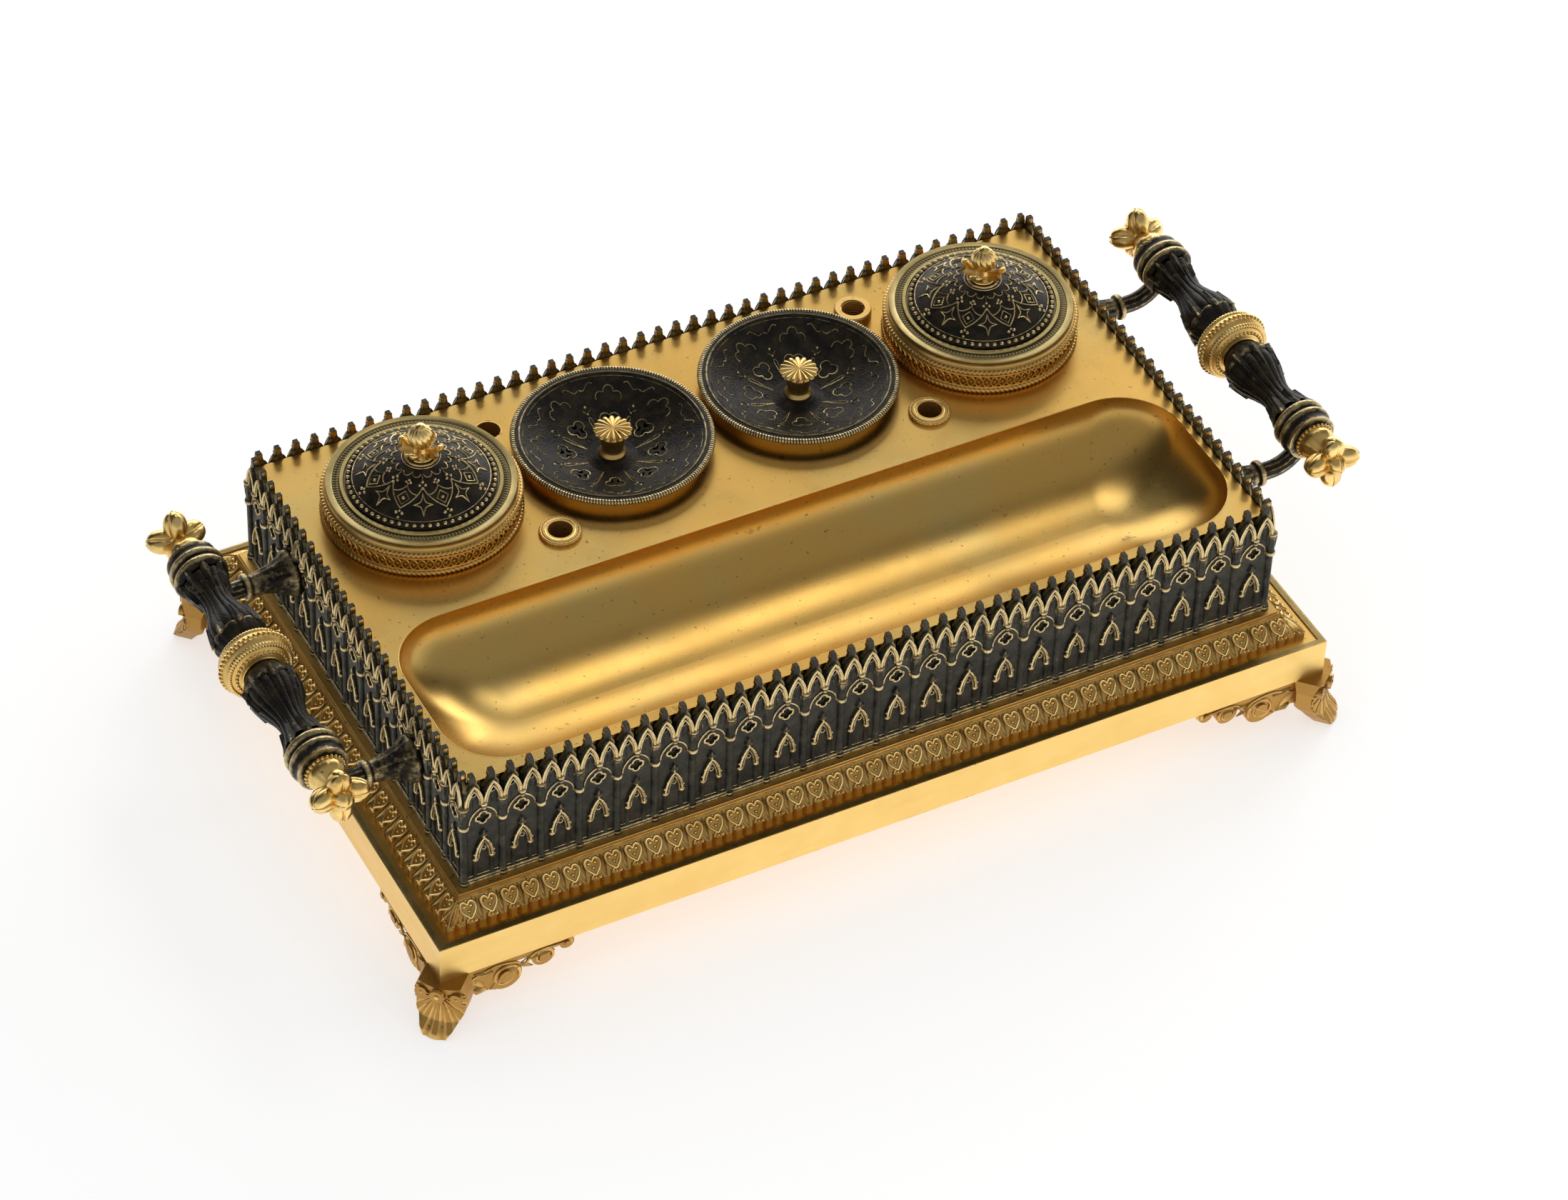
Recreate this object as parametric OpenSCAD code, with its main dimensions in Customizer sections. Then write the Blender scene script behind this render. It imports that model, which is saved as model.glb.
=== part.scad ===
// Gothic-revival desk inkstand of gilt and patinated bronze.
// X runs along the stand, Y from front to back, Z up. The origin is on the
// ground under the middle of the plinth, and the pen trough is at the front.

/* [Plinth and feet] */
// Height of the feet under the plinth
foot_h = 20; // [16:0.5:28]
// Height of the flat gilt band
band_h = 14.7; // [12:0.1:20]
// Wall of the band above the deck
band_t = 2.2; // [1.6:0.1:3]
// Width of the step inside the band that carries the deck
band_step = 3; // [2:0.1:4]
// Leg of the corner block that each foot is screwed to
gusset_leg = 26; // [20:1:32]
// Thickness of the deck plate
deck_t = 3; // [2:0.1:4]
// Length of each scrolled bracket, from the corner of the plinth
bracket_l = 48; // [42:1:56]
// Thickness of the scrolled brackets
bracket_t = 4.5; // [3.5:0.1:6]
// Reach of the shell toe beyond the corner, along the diagonal
toe_out = 6.2; // [4:0.1:8]
// Width of the shell on each foot
shell_w = 18; // [14:0.5:20]
// Radius of the curve that each shell follows round its corner
shell_turn = 14; // [12:0.5:18]
// Thickness of the pad that each foot is screwed through
pad_t = 3; // [2:0.1:5]
// Radius of the screws
screw_r = 1.5; // [1:0.1:2]

/* [Frieze] */
// Width of the bare ledge outside the frieze
ledge_w = 5.6; // [4:0.1:7]
// Height of the frieze at its leaf tips
tip_h = 1.8; // [1.2:0.1:3]
// Height of the frieze at its back
frieze_h = 7.2; // [6:0.1:7.6]
// Width of the sloping frieze
frieze_w = 6.6; // [5:0.1:8]
// Heart motifs along the front and the back
hearts_l = 42; // [30:1:50]
// Heart motifs along each side
hearts_w = 25; // [18:1:30]
// Depth of the notches between the leaf tips
notch_d = 1.5; // [0.8:0.1:2]

/* [Gallery] */
// Width of the moulding outside the columns
seat_lip = 2.8; // [1.6:0.1:6]
// Height of the moulding that the gallery stands on, above the plinth
seat_h = 8.4; // [7.8:0.1:10]
// Height of the gallery to the tops of its knobs
gallery_h = 47; // [44:0.5:54]
// Bays along the front and the back
bays_l = 22; // [16:1:26]
// Bays along each side
bays_w = 13; // [9:1:16]
// Thickness of the panel behind its columns
panel_t = 2; // [1.6:0.1:2.6]
// How far the columns stand out from the panel
relief = 1.4; // [1:0.1:1.8]
// Width of the square posts inside its corners
post_w = 6; // [5:0.1:7]
// Depth of the sunk quatrefoils
sink_d = 0.8; // [0.4:0.1:1.2]
// Height of the capitals below the knob tops
cap_drop = 12.5; // [11:0.1:14]
// Height of the colonnettes in each bay
spring_h = 10; // [8:0.1:12]

/* [Top plate] */
// Height of the top plate above the foot of the gallery
plate_h = 42.1; // [38:0.1:44]
// Thickness of the top plate and its pan
plate_t = 1.6; // [1.2:0.1:2.4]
// Length of the pins under the plate that enter the posts
pin_l = 8; // [5:0.5:12]
// Distance from each end of the plate to the trough
trough_end = 2.3; // [2:0.1:20]
// Width of the pen trough
trough_w = 70; // [50:1:90]
// Depth of the pen trough, which is the radius of its walls too
trough_d = 22; // [16:0.5:26]
// Distance from the front edge of the plate to the trough
trough_edge = 3.9; // [2.6:0.1:6]

/* [Wells] */
// Gap between two dishes that stand side by side
well_gap = 1.4; // [0.6:0.1:8]
// Distance from the outer lids to the ends of the plate
plate_end = 6.6; // [3:0.1:20]
// Distance from the trough to the dishes behind it
well_front = 14.7; // [12:0.1:30]
// Distance from the dishes to the back edge of the plate
well_back = 7.2; // [3:0.1:20]
// Width of the collar round the lip of each pot
collar_w = 1.7; // [1.2:0.1:3]
// Height of each collar above the plate
collar_h = 3; // [2:0.1:4]
// Radius of the pot inside each well
pot_r = 27.8; // [22:0.1:34]
// Depth of the pots below the plate
pot_depth = 40; // [30:1:44]
// Wall of the glass ink pots
glass_t = 2.4; // [1.8:0.1:3]
// Wall of the metal pounce and wafer pots
cup_t = 1.2; // [0.8:0.1:2]

/* [Lids] */
// Wall of the ink lids outside the collars
drum_wall = 1; // [0.8:0.1:1.4]
// Radius of the rope mouldings' own wire
rope_r = 0.9; // [0.6:0.05:1.1]
// Height of the ink lids' drum
drum_h = 12.4; // [11:0.1:14]
// Width of the flat rim outside the medallion
lid_rim = 7.6; // [6:0.1:10]
// Height of the medallion
medal_h = 8.6; // [6:0.1:10]
// Height of the bud finial on the ink lids
finial_h = 16; // [12:0.5:20]
// How far the dishes and their rope rims reach over the collars
dish_lap = 2.9; // [2.4:0.1:5]
// Depth of the hollow in the dishes
dish_d = 11; // [8:0.5:12]
// Height of the vase knob in the dishes
knob_h = 15; // [12:0.5:18]

/* [Quill holders] */
// Bore of the quill sleeves
quill_r = 4.2; // [3.5:0.1:4.6]
// Depth of the quill sleeves below the plate
quill_depth = 30; // [20:1:38]
// Distance of the sleeves inwards from half-way between two wells
quill_in = 0.9; // [-2:0.1:3]
// Distance of the front sleeves before the middles of the wells
quill_front = 30.7; // [29:0.1:34]
// Distance of the back sleeves behind the middles of the wells
quill_back = 25.3; // [24:0.1:28]
// Height of the bare back-right sleeve above the plate
tube_h = 3.5; // [2:0.1:6]

/* [Handles] */
// Distance of the handle bars outside the gallery
handle_out = 32.8; // [30:0.1:40]
// Radius of the handle bars at their leafy bulbs
bar_r = 8.9; // [8:0.1:10]
// Height of the handle bars above the ground
handle_z = 81.4; // [76:0.1:88]
// Distance of the arms from the middle of the bar
arm_y = 48; // [42:0.5:56]
// Radius of the arms
arm_r = 3; // [2.4:0.1:3.6]
// Drop of the arms from the bar to the panel
arm_drop = 14; // [12:0.1:18]
// Radius of the gilt ring in the middle of each bar
ring_r = 13.2; // [11:0.1:14]
// Radius of the threaded rod inside each bar
rod_r = 2; // [1.5:0.1:2.5]

/* [Clearances] */
// Gap round the pots in their collars
pot_gap = 0.3; // [0.2:0.05:0.5]
// Gap between a lid and what it rests on
seat_gap = 0.2; // [0.1:0.05:0.3]
// Gap round pins, rods and sleeves
fit_gap = 0.05; // [0.02:0.01:0.1]

/* [Hidden] */
$fn = 64;
sides = ["left", "right"];

gilt = "#d9a441";
brass = "#b99449";
dark = "#3a362c";
steel = "#8d8d88";
glassy = "#cfd8d4";

// heights above the ground
plinth_z = foot_h + band_h;
deck_z = plinth_z - 0.5;
deck_low = deck_z - deck_t;
seat_z = plinth_z + seat_h;
lip_h = 1.5;
plate_z = seat_z + plate_h;
plate_low = plate_z - plate_t;
collar_z = plate_z + collar_h;

// the wells, from the pots outwards
lip_w = 1.7;
pot_lip_r = pot_r + lip_w;
collar_in = pot_lip_r + pot_gap;
collar_r = collar_in + collar_w;
drum_in = collar_r + pot_gap;
drum_r = drum_in + drum_wall;
medal_r = drum_r - lid_rim;
dish_r = collar_r + dish_lap;
well_pitch = 2 * dish_r + well_gap;
well_x = [for (k = [-1.5, -0.5, 0.5, 1.5]) k * well_pitch];

// half sizes in plan, from the plate outwards
panel_in = relief + panel_t;
plate_gap = 0.3;
px = well_x[3] + dish_r + plate_end;
py = (trough_edge + trough_w + well_front + 2 * dish_r + well_back) / 2;
gx = px + plate_gap + panel_in;
gy = py + plate_gap + panel_in;
hx = gx + seat_lip + frieze_w + ledge_w;
hy = gy + seat_lip + frieze_w + ledge_w;
wall_in = [hx - band_t, hy - band_t];
step_in = wall_in - [band_step, band_step];
deck_half = wall_in - [fit_gap, fit_gap];
frieze_half = [hx - ledge_w, hy - ledge_w];
seat_half = frieze_half - [frieze_w, frieze_w];
post_spot = [px - post_w / 2, py - post_w / 2];
foot_spot = [hx - 12, hy - 12];
seat_in = [px - post_w - 1.5, py - post_w - 1.5];
corner_leaf = 3.2;

// the gallery's own heights, above its foot
cap_z = gallery_h - cap_drop;
notch_z = cap_z + 1.6;
apex_z = gallery_h - 3.4;
column_in = 1.3;

// the wells' heights and walls
well_y = py - well_back - dish_r;
pot_lip_t = 1.5;
pot_lip_z = plate_z - pot_lip_t;
pot_low = plate_z - pot_depth;
spigot_r = collar_in + 0.7;
spigot_h = 5;
lid_z = plate_z + seat_gap;
drum_z = lid_z + drum_h;
drum_t = 2;
stud_r = 1.6;
medal_t = 1.6;
medal_z = drum_z + medal_h;
dish_z = collar_z + seat_gap;
dish_in = dish_r - 2 * rope_r - 1.6;
dish_t = 1.5;
dish_mid = dish_z + 2.8 - dish_d;

// the trough
trough_l = 2 * (px - trough_end);
trough_y = -py + trough_edge + trough_w / 2;

// the quill holders
quill_wall = 0.8;
quill_out = quill_r + quill_wall;
quill_x = well_pitch - quill_in;
quill_y1 = well_y - quill_front;
quill_y2 = well_y + quill_back;

// the handles, along their own axis and outward from the wall
bar_0 = 5.8;
bar_1 = arm_y + 5.5;
handle_x = gx + handle_out;
arm_z = handle_z - arm_drop;
arm_bend = handle_x - 12;
arm_seat = gx - 1;
arm_foot = 8;
stud_in = gx - panel_in - 3.2;
arm_top = 3.5;

// the hexagon nuts, by their corner radius and height
lid_nut = [3.2, 2.2];
arm_nut = [3.6, 2.5];

// ---------- shared shapes ----------

// A box from one corner to the opposite one.
module block(lo, hi) {
  translate(lo) cube(hi - lo);
}

// A rectangular frame between an outer and an inner half size.
module frame(outer, inner, z0, z1) {
  translate([0, 0, z0]) linear_extrude(z1 - z0) difference() {
    square(2 * outer, center = true);
    square(2 * inner, center = true);
  }
}

// Mirrored copies in the four corners.
module corners() {
  for (sx = [-1, 1], sy = [-1, 1]) scale_flip(sx, sy) children();
}

module scale_flip(sx, sy) {
  mirror([sx < 0 ? 1 : 0, 0, 0]) mirror([0, sy < 0 ? 1 : 0, 0]) children();
}

// A drawing in X and Z, made into a slab that reaches from Y = 0 to Y = -t.
module slab(t) {
  rotate([90, 0, 0]) linear_extrude(t) children();
}

// Moves a wall, drawn along X with its outer face towards -Y, out to its side of the stand.
module on_side(side, half, z) {
  a = side == "front" ? 0 : side == "right" ? 90 : side == "back" ? 180 : 270;
  d = side == "front" || side == "back" ? half[1] : half[0];
  rotate([0, 0, a]) translate([0, -d, z]) children();
}

function is_long(side) = side == "front" || side == "back";
function moved(points, by) = [for (q = points) q + by];
function flipped(points) = [for (i = [len(points) - 1:-1:0]) [-points[i][0], points[i][1]]];
function clamped(points, x) = [for (q = points) [max(-x, min(x, q[0])), q[1]]];

// The right side of a lancet arch of half width w and height h, from its foot to its apex.
function lancet_side(w, h, n) =
  let (r = (w * w + h * h) / (2 * w), a = asin(h / r))
  [for (i = [0:n]) let (t = a * i / n) [w - r + r * cos(t), r * sin(t)]];

// The same side, cut short where it would come nearer to the middle than a neck.
function shoulder(w, h, n, neck) = [for (q = lancet_side(w, h, n)) if (q[0] > neck + 0.2) q];

// The whole lancet from its left foot over the apex to its right foot.
function lancet_over(w, h, n) =
  let (side = lancet_side(w, h, n))
  concat([for (i = [0:n - 1]) [-side[i][0], side[i][1]]], [for (i = [n:-1:0]) side[i]]);

// A quatrefoil of lobes of radius r, each d from the middle.
module quatrefoil(r, d) {
  for (a = [0:90:270]) rotate(a) translate([d, 0]) circle(r, $fn = 24);
}

// A round moulding: a ring of wire of radius r2 whose middle runs at radius r1.
module wire_ring(r1, r2, z) {
  translate([0, 0, z]) rotate_extrude() translate([r1, 0]) circle(r2, $fn = 24);
}

// A turned piece from its outline of [radius, height] points.
module turned(points) {
  rotate_extrude() polygon(points);
}

// A hexagon nut on a stud, from its corner radius and height.
module nut(size) {
  difference() {
    cylinder(r = size[0], h = size[1], $fn = 6);
    translate([0, 0, -1]) cylinder(r = stud_r + fit_gap, h = size[1] + 2);
  }
}

// ---------- plinth ----------

// Four screw holes, one in each corner.
module screw_holes(spot, z0, z1) {
  corners() translate([spot[0], spot[1], z0]) cylinder(r = screw_r + fit_gap, h = z1 - z0);
}

// A slotted screw, driven upwards, whose head bears at z0 and whose tip is at z1.
module screw(z0, z1) {
  translate([0, 0, z0]) cylinder(r = screw_r, h = z1 - z0);
  difference() {
    translate([0, 0, z0 - screw_r]) cylinder(r = 2 * screw_r, h = screw_r);
    block([-3 * screw_r, -0.4, z0 - screw_r - 1], [3 * screw_r, 0.4, z0 - screw_r / 2]);
  }
}

module plinth_band() {
  color(gilt) difference() {
    union() {
      difference() {
        block([-hx, -hy, foot_h], [hx, hy, plinth_z]);
        block([-step_in[0], -step_in[1], foot_h - 1], [step_in[0], step_in[1], plinth_z + 1]);
        block([-wall_in[0], -wall_in[1], deck_low], [wall_in[0], wall_in[1], plinth_z + 1]);
      }
      corners() translate([step_in[0], step_in[1], foot_h]) linear_extrude(deck_low - foot_h)
        polygon([[1, 1], [-gusset_leg, 1], [-gusset_leg, 0], [0, -gusset_leg], [1, -gusset_leg]]);
    }
    screw_holes(foot_spot, foot_h - 1, plinth_z);
  }
}

module deck_plate() {
  color(brass) difference() {
    block([-deck_half[0], -deck_half[1], deck_low], [deck_half[0], deck_half[1], deck_z]);
    screw_holes(foot_spot, deck_low - 1, deck_z + 1);
    screw_holes(post_spot, deck_low - 1, deck_z + 1);
  }
}

module deck_screws() {
  color(steel) corners() {
    translate([foot_spot[0], foot_spot[1], 0]) screw(foot_h - pad_t, deck_z - 0.3);
    translate([post_spot[0], post_spot[1], 0]) screw(deck_low, seat_z + 10);
  }
}

// ---------- feet ----------

// The middle and radius of the scrolls of a bracket, the end curl first, measured from the corner.
scrolls = [[-0.946 * bracket_l, foot_h - 2.6, 2.6], [-0.77 * bracket_l, foot_h - 5, 4],
  [-0.49 * bracket_l, foot_h - 8.2, 5.8]];

// The outline of a bracket, from the corner of the plinth inwards along -X.
module bracket_outline() {
  translate([scrolls[0][0], foot_h - 3]) square([-scrolls[0][0] - 1, 3]);
  for (s = scrolls) translate([s[0], s[1]]) circle(s[2]);
  polygon([[-0.46 * bracket_l, foot_h - 2], [-0.42 * bracket_l, foot_h - 13.2],
    [-0.36 * bracket_l, foot_h - 12], [-0.27 * bracket_l, foot_h - 12.6], [-0.24 * bracket_l, foot_h - 10.6],
    [-0.2 * bracket_l, foot_h - 11], [-1, foot_h - 6], [-1, foot_h - 2]]);
}

module bracket() {
  translate([0, -0.8, 0]) slab(bracket_t) bracket_outline();
  for (s = scrolls)
    translate([s[0], 0, s[1]]) rotate([90, 0, 0]) cylinder(r = 0.44 * s[2], h = bracket_t);
}

// The side view of the shell: outwards along X and upwards, proud of its plain form by p.
module shell_side(p) {
  polygon([[-9, foot_h], [2.4 + p, foot_h], [1.6 + p, foot_h * 0.72], [1.6 + p, foot_h * 0.5],
    [2.8 + p, foot_h * 0.3], [toe_out - 0.6 + p, foot_h * 0.12], [toe_out + p, foot_h * 0.05],
    [toe_out - 0.6, 0], [toe_out - 6.2, 0], [-2, foot_h * 0.35], [-5, foot_h * 0.7]]);
}

// The front view of the shell: a fan that narrows to the toe.
module shell_front() {
  w = shell_w / 2;
  polygon(concat([[w * 0.8, foot_h], [w * 0.97, foot_h * 0.8], [w, foot_h * 0.62], [w * 0.9, foot_h * 0.42],
    [w * 0.66, foot_h * 0.2], [w * 0.46, foot_h * 0.06], [w * 0.38, 0]],
    [[-w * 0.38, 0], [-w * 0.46, foot_h * 0.06], [-w * 0.66, foot_h * 0.2], [-w * 0.9, foot_h * 0.42],
    [-w, foot_h * 0.62], [-w * 0.97, foot_h * 0.8], [-w * 0.8, foot_h]]));
}

// The ribs of the shell, fanned out below its rosette.
module shell_ribs() {
  translate([0, foot_h * 0.84]) for (k = [-4:4]) rotate([0, 0, 20 * k])
    polygon([[-0.3, -3.2], [0.3, -3.2], [0.95, -14.8], [-0.95, -14.8]]);
}

// The side view, swept round an upright axis so that the shell curves round the corner.
module shell_sweep(p) {
  translate([-shell_turn, 0, 0]) rotate([0, 0, -50]) rotate_extrude(angle = 100)
    translate([shell_turn, 0]) shell_side(p);
}

module shell() {
  intersection() {
    shell_sweep(0);
    rotate([90, 0, 90]) translate([0, 0, -12]) linear_extrude(24) shell_front();
  }
  intersection() {
    shell_sweep(0.7);
    rotate([90, 0, 90]) translate([0, 0, -4]) linear_extrude(14) intersection() {
      translate([-shell_w / 2 + 0.3, 0.8]) square([shell_w - 0.6, foot_h - 2]);
      shell_front();
      shell_ribs();
    }
  }
  // a rosette between two volutes
  for (v = [[0, foot_h * 0.84, 2.5, 3.6], [-6, foot_h * 0.8, 2.1, 2], [6, foot_h * 0.8, 2.1, 2]])
    translate([-2, v[0], v[1]]) rotate([0, 90, 0]) cylinder(r = v[2], h = v[3] + 2);
}

module foot(end, side) {
  sx = side == "left" ? -1 : 1;
  sy = end == "front" ? -1 : 1;
  color(gilt) scale_flip(sx, sy) difference() {
    translate([hx, hy, 0]) {
      bracket();
      mirror([1, -1, 0]) bracket();
      rotate([0, 0, 45]) shell();
      translate([0, 0, foot_h - pad_t]) linear_extrude(pad_t)
        polygon([[-1.5, -1.5], [-24, -1.5], [-24, -3.5], [-3.5, -24], [-1.5, -24]]);
    }
    translate([foot_spot[0], foot_spot[1], 0]) cylinder(r = screw_r + fit_gap, h = foot_h + 1);
  }
}

// ---------- frieze ----------

// A heart that stands on its point, with lobes of radius r.
module heart(r) {
  for (x = [-0.87, 0.87]) translate([x * r, 2.8 * r]) circle(r, $fn = 24);
  polygon([[0, 0], [1.78 * r, 2.5 * r], [0, 3.2 * r], [-1.78 * r, 2.5 * r]]);
}

module heart_loop() {
  difference() {
    translate([0, 1.6]) heart(1.52);
    translate([0, 2.9]) heart(1);
  }
}

// The leaves beside the mitre at the right end of a run, on the slope, for a run of half length half.
module corner_leaves(half) {
  for (leaf = [[0, 1], [2, 0.8], [3.8, 0.6]]) {
    root = [half - frieze_w - 0.9 - leaf[0] / 2, 7.6];
    tip = [half - 1.8 - leaf[0], 0.6];
    side = [1, 0.75] * leaf[1] * 0.9;
    polygon([root, (root + tip) / 2 - side, tip, (root + tip) / 2 + side]);
  }
}

// One run of the frieze: a toothed edge of leaf and bud tips, a slope of hearts, and mitred ends.
module frieze(side) {
  half = is_long(side) ? frieze_half[0] : frieze_half[1];
  count = is_long(side) ? hearts_l : hearts_w;
  free = half - corner_leaf;
  tooth = 2 * free / (2 * count + 1);
  slope = atan2(frieze_h - tip_h, frieze_w);
  edge = [for (i = [0:2 * count]) each
    moved([[0, notch_d], [0.24 * tooth, 0], [0.76 * tooth, 0]], [i * tooth - free, 0])];
  color(gilt) on_side(side, frieze_half, deck_z) {
    intersection() {
      linear_extrude(frieze_h) polygon(concat([[-half, 0], [-half + 0.6 * corner_leaf, 0]], edge,
        [[free, notch_d], [half - 0.6 * corner_leaf, 0], [half, 0],
         [half - frieze_w, frieze_w], [frieze_w - half, frieze_w]]));
      rotate([90, 0, 90]) translate([0, 0, -half]) linear_extrude(2 * half)
        polygon([[0, 0], [frieze_w, 0], [frieze_w, frieze_h], [0, tip_h]]);
    }
    for (i = [0:count - 1]) translate([(2 * i + 1.5) * tooth - free, 0, tip_h]) rotate([slope, 0, 0])
      translate([0, 0, -0.3]) linear_extrude(0.75) heart_loop();
    for (s = [0, 1]) mirror([s, 0, 0]) translate([0, 0, tip_h]) rotate([slope, 0, 0])
      translate([0, 0, -0.3]) linear_extrude(0.8) corner_leaves(half);
  }
}

// ---------- gallery ----------

module gallery_seat() {
  color(gilt) difference() {
    union() {
      frame(seat_half, seat_in, deck_z, seat_z - 0.8);
      frame(seat_half - [0.5, 0.5], seat_in, seat_z - 0.8, seat_z);
      frame([gx - panel_in - fit_gap, gy - panel_in - fit_gap], seat_in, seat_z, seat_z + lip_h);
    }
    screw_holes(post_spot, deck_z - 1, seat_z + lip_h + 1);
  }
}

module corner_posts() {
  color(brass) difference() {
    corners() block([post_spot[0] - post_w / 2, post_spot[1] - post_w / 2, seat_z + lip_h],
      [post_spot[0] + post_w / 2, post_spot[1] + post_w / 2, plate_low]);
    screw_holes(post_spot, seat_z, plate_z);
  }
}

// A gable's outline from right to left over half width w, with its bud or cut off below it.
function gable(w, with_bud) =
  let (neck = [0.7, apex_z - 0.9],
       side = concat(moved(shoulder(w, apex_z - notch_z, 3, neck[0]), [0, notch_z]),
                     with_bud ? [neck, [1.25, apex_z + 0.8], [0.8, gallery_h]] : [neck]))
  concat(side, flipped(side));

// A column with a base, a ring and a long capital.
module column(h) {
  rotate([0, 0, 90]) turned([[0, 0], [1.7, 0], [1.7, 1.4], [1.15, 1.4], [1.15, h - 9.4], [1.7, h - 9.4],
    [1.7, h - 8.4], [1.35, h - 8.4], [1.35, h - 0.9], [1.75, h - 0.9], [1.75, h], [0, h]]);
}

module colonnette(h) {
  rotate([0, 0, 90]) turned([[0, 0], [0.75, 0], [0.75, h - 0.9], [1.1, h - 0.9], [1.1, h], [0, h]]);
}

// A small pointed arch of half width w that springs from two colonnettes and ends in a bud.
module niche_arch(w) {
  side = concat(moved(shoulder(w, 9, 3, 0.4), [0, spring_h]),
    moved([[0.35, 9], [1.1, 10], [0.3, 12.4]], [0, spring_h]));
  slab(1.1) polygon(concat(side, flipped(side), moved(lancet_over(w - 0.9, 7.4, 3), [0, spring_h])));
}

// The gable mouldings of a whole wall as one comb of lancets, with a pendant between each pair.
module gable_mouldings(gables, step, end) {
  w = step / 2 - 1;
  feet = [for (x = gables) each moved(concat([[-step / 2, cap_z - 2]],
    moved(lancet_over(w, apex_z - cap_z - 1.8, 3), [0, cap_z])), [x, 0])];
  tops = [for (i = [len(gables) - 1:-1:0]) each moved(gable(step / 2 - 0.15, false), [gables[i], 0])];
  slab(0.9) polygon(concat(
    [for (q = feet) let (reach = q[1] < cap_z ? end : end - 0.8) [max(-reach, min(reach, q[0])), q[1]]],
    [[end, cap_z - 2]], clamped(tops, end)));
}

// A wall of the gallery, with its inner face on Y = 0. The corner columns stand at X = -reach and
// X = reach, and the wall itself ends at X = -end and X = end.
module gallery_wall(reach, end, bays) {
  bay = 2 * reach / bays;
  step = bay / 2;
  stand = 0.215 * bay;
  middles = [for (i = [0:bays - 1]) (i + 0.5) * bay - reach];
  gables = [for (i = [0:2 * bays - 1]) (i + 0.5) * step - reach];
  difference() {
    slab(panel_t) polygon(concat([[-end, 0], [end, 0]],
      clamped([for (i = [2 * bays - 1:-1:0]) each moved(gable(step / 2 - 0.15, true), [gables[i], 0])],
        end)));
    translate([0, sink_d - panel_t, 0]) slab(sink_d + 1) {
      for (x = middles) translate([x, cap_z - 6.9]) quatrefoil(1.15, 1.3);
      for (x = gables) translate([x, cap_z + 4.6]) circle(0.9, $fn = 24);
    }
  }
  translate([0, -panel_t, 0]) gable_mouldings(gables, step, end);
  translate([0, 0.2 - panel_t, 0]) {
    slab(1.2) translate([0.1 - end, 0.1]) square([2 * end - 0.2, 1.5]);
    for (x = middles) translate([x, 0, 0]) niche_arch(stand + 0.45);
  }
  for (x = middles, s = [-1, 1]) translate([x + s * stand, -panel_t - 0.15, 0.3]) colonnette(spring_h + 0.3);
  for (i = [1:bays - 1]) translate([i * bay - reach, column_in - panel_in, 0.2]) column(cap_z);
}

// The front and back walls run the whole length and carry the corner columns.
module gallery_long(side) {
  color(dark) on_side(side, [gx - panel_in, gy - panel_in], seat_z) {
    gallery_wall(gx - column_in, gx - relief, bays_l);
    for (s = [-1, 1]) translate([s * (gx - column_in), column_in - panel_in, 0]) column(cap_z + 0.2);
  }
}

// The side walls stand between them, with a seat and a hole for each arm of the handle.
module gallery_short(side) {
  color(dark) on_side(side, [gx - panel_in, gy - panel_in], seat_z) difference() {
    gallery_wall(gy - column_in, gy - panel_in - fit_gap, bays_w);
    for (s = [-1, 1]) translate([s * arm_y, 0, arm_z - seat_z]) rotate([90, 0, 0]) {
      translate([0, 0, arm_seat - gx + panel_in]) cylinder(r = arm_foot + 0.1, h = panel_in);
      translate([0, 0, -1]) cylinder(r = stud_r + fit_gap, h = panel_in + 2);
    }
  }
}

// ---------- top plate ----------

// The form of a trough whose walls, ends and corners are all round, with radius r, up to the plate's top.
module trough_form(r) {
  cx = trough_l / 2 - trough_d;
  cy = trough_w / 2 - trough_d;
  translate([0, trough_y, plate_z]) {
    block([-cx, -cy, -r], [cx, cy, 0]);
    for (a = [0, 180]) rotate([0, 0, a]) {
      translate([cx, cy, 0]) rotate([90, 0, 0]) linear_extrude(2 * cy) quarter(r);
      translate([-cx, cy, 0]) rotate([90, 0, 90]) linear_extrude(2 * cx) quarter(r);
      translate([cx, cy, 0]) rotate_extrude(angle = 90) quarter(r);
      translate([-cx, cy, 0]) rotate([0, 0, 90]) rotate_extrude(angle = 90) quarter(r);
    }
  }
}

// The quarter of a disc that lies right of and below its middle.
module quarter(r) {
  intersection() {
    circle(r);
    translate([0, -r]) square(r);
  }
}

module top_plate() {
  color(brass) difference() {
    union() {
      block([-px, -py, plate_low], [px, py, plate_z]);
      trough_form(trough_d + plate_t);
      corners() translate([post_spot[0], post_spot[1], plate_low - pin_l])
        cylinder(r = screw_r, h = pin_l + plate_t / 2);
    }
    trough_form(trough_d);
    for (x = well_x) translate([x, well_y, plate_low - 1]) cylinder(r = spigot_r + fit_gap, h = plate_t + 2);
    for (x = [-quill_x, quill_x], y = [quill_y1, quill_y2])
      translate([x, y, plate_low - 1]) cylinder(r = quill_out + fit_gap, h = plate_t + 2);
  }
}

// ---------- wells ----------

// Moves a piece to the middle of a well, counted from the left.
module in_well(well) {
  translate([well_x[well], well_y, 0]) children();
}

// The collar of a well: a flange on the plate and a spigot through it, with a ledge for the pot's lip.
module collar(well) {
  color(gilt) in_well(well) turned([[pot_r + pot_gap, plate_z - spigot_h],
    [spigot_r, plate_z - spigot_h], [spigot_r, plate_z], [collar_r, plate_z], [collar_r, collar_z - 0.5],
    [collar_r - 0.5, collar_z], [collar_in, collar_z], [collar_in, pot_lip_z], [pot_r + pot_gap, pot_lip_z]]);
}

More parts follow.
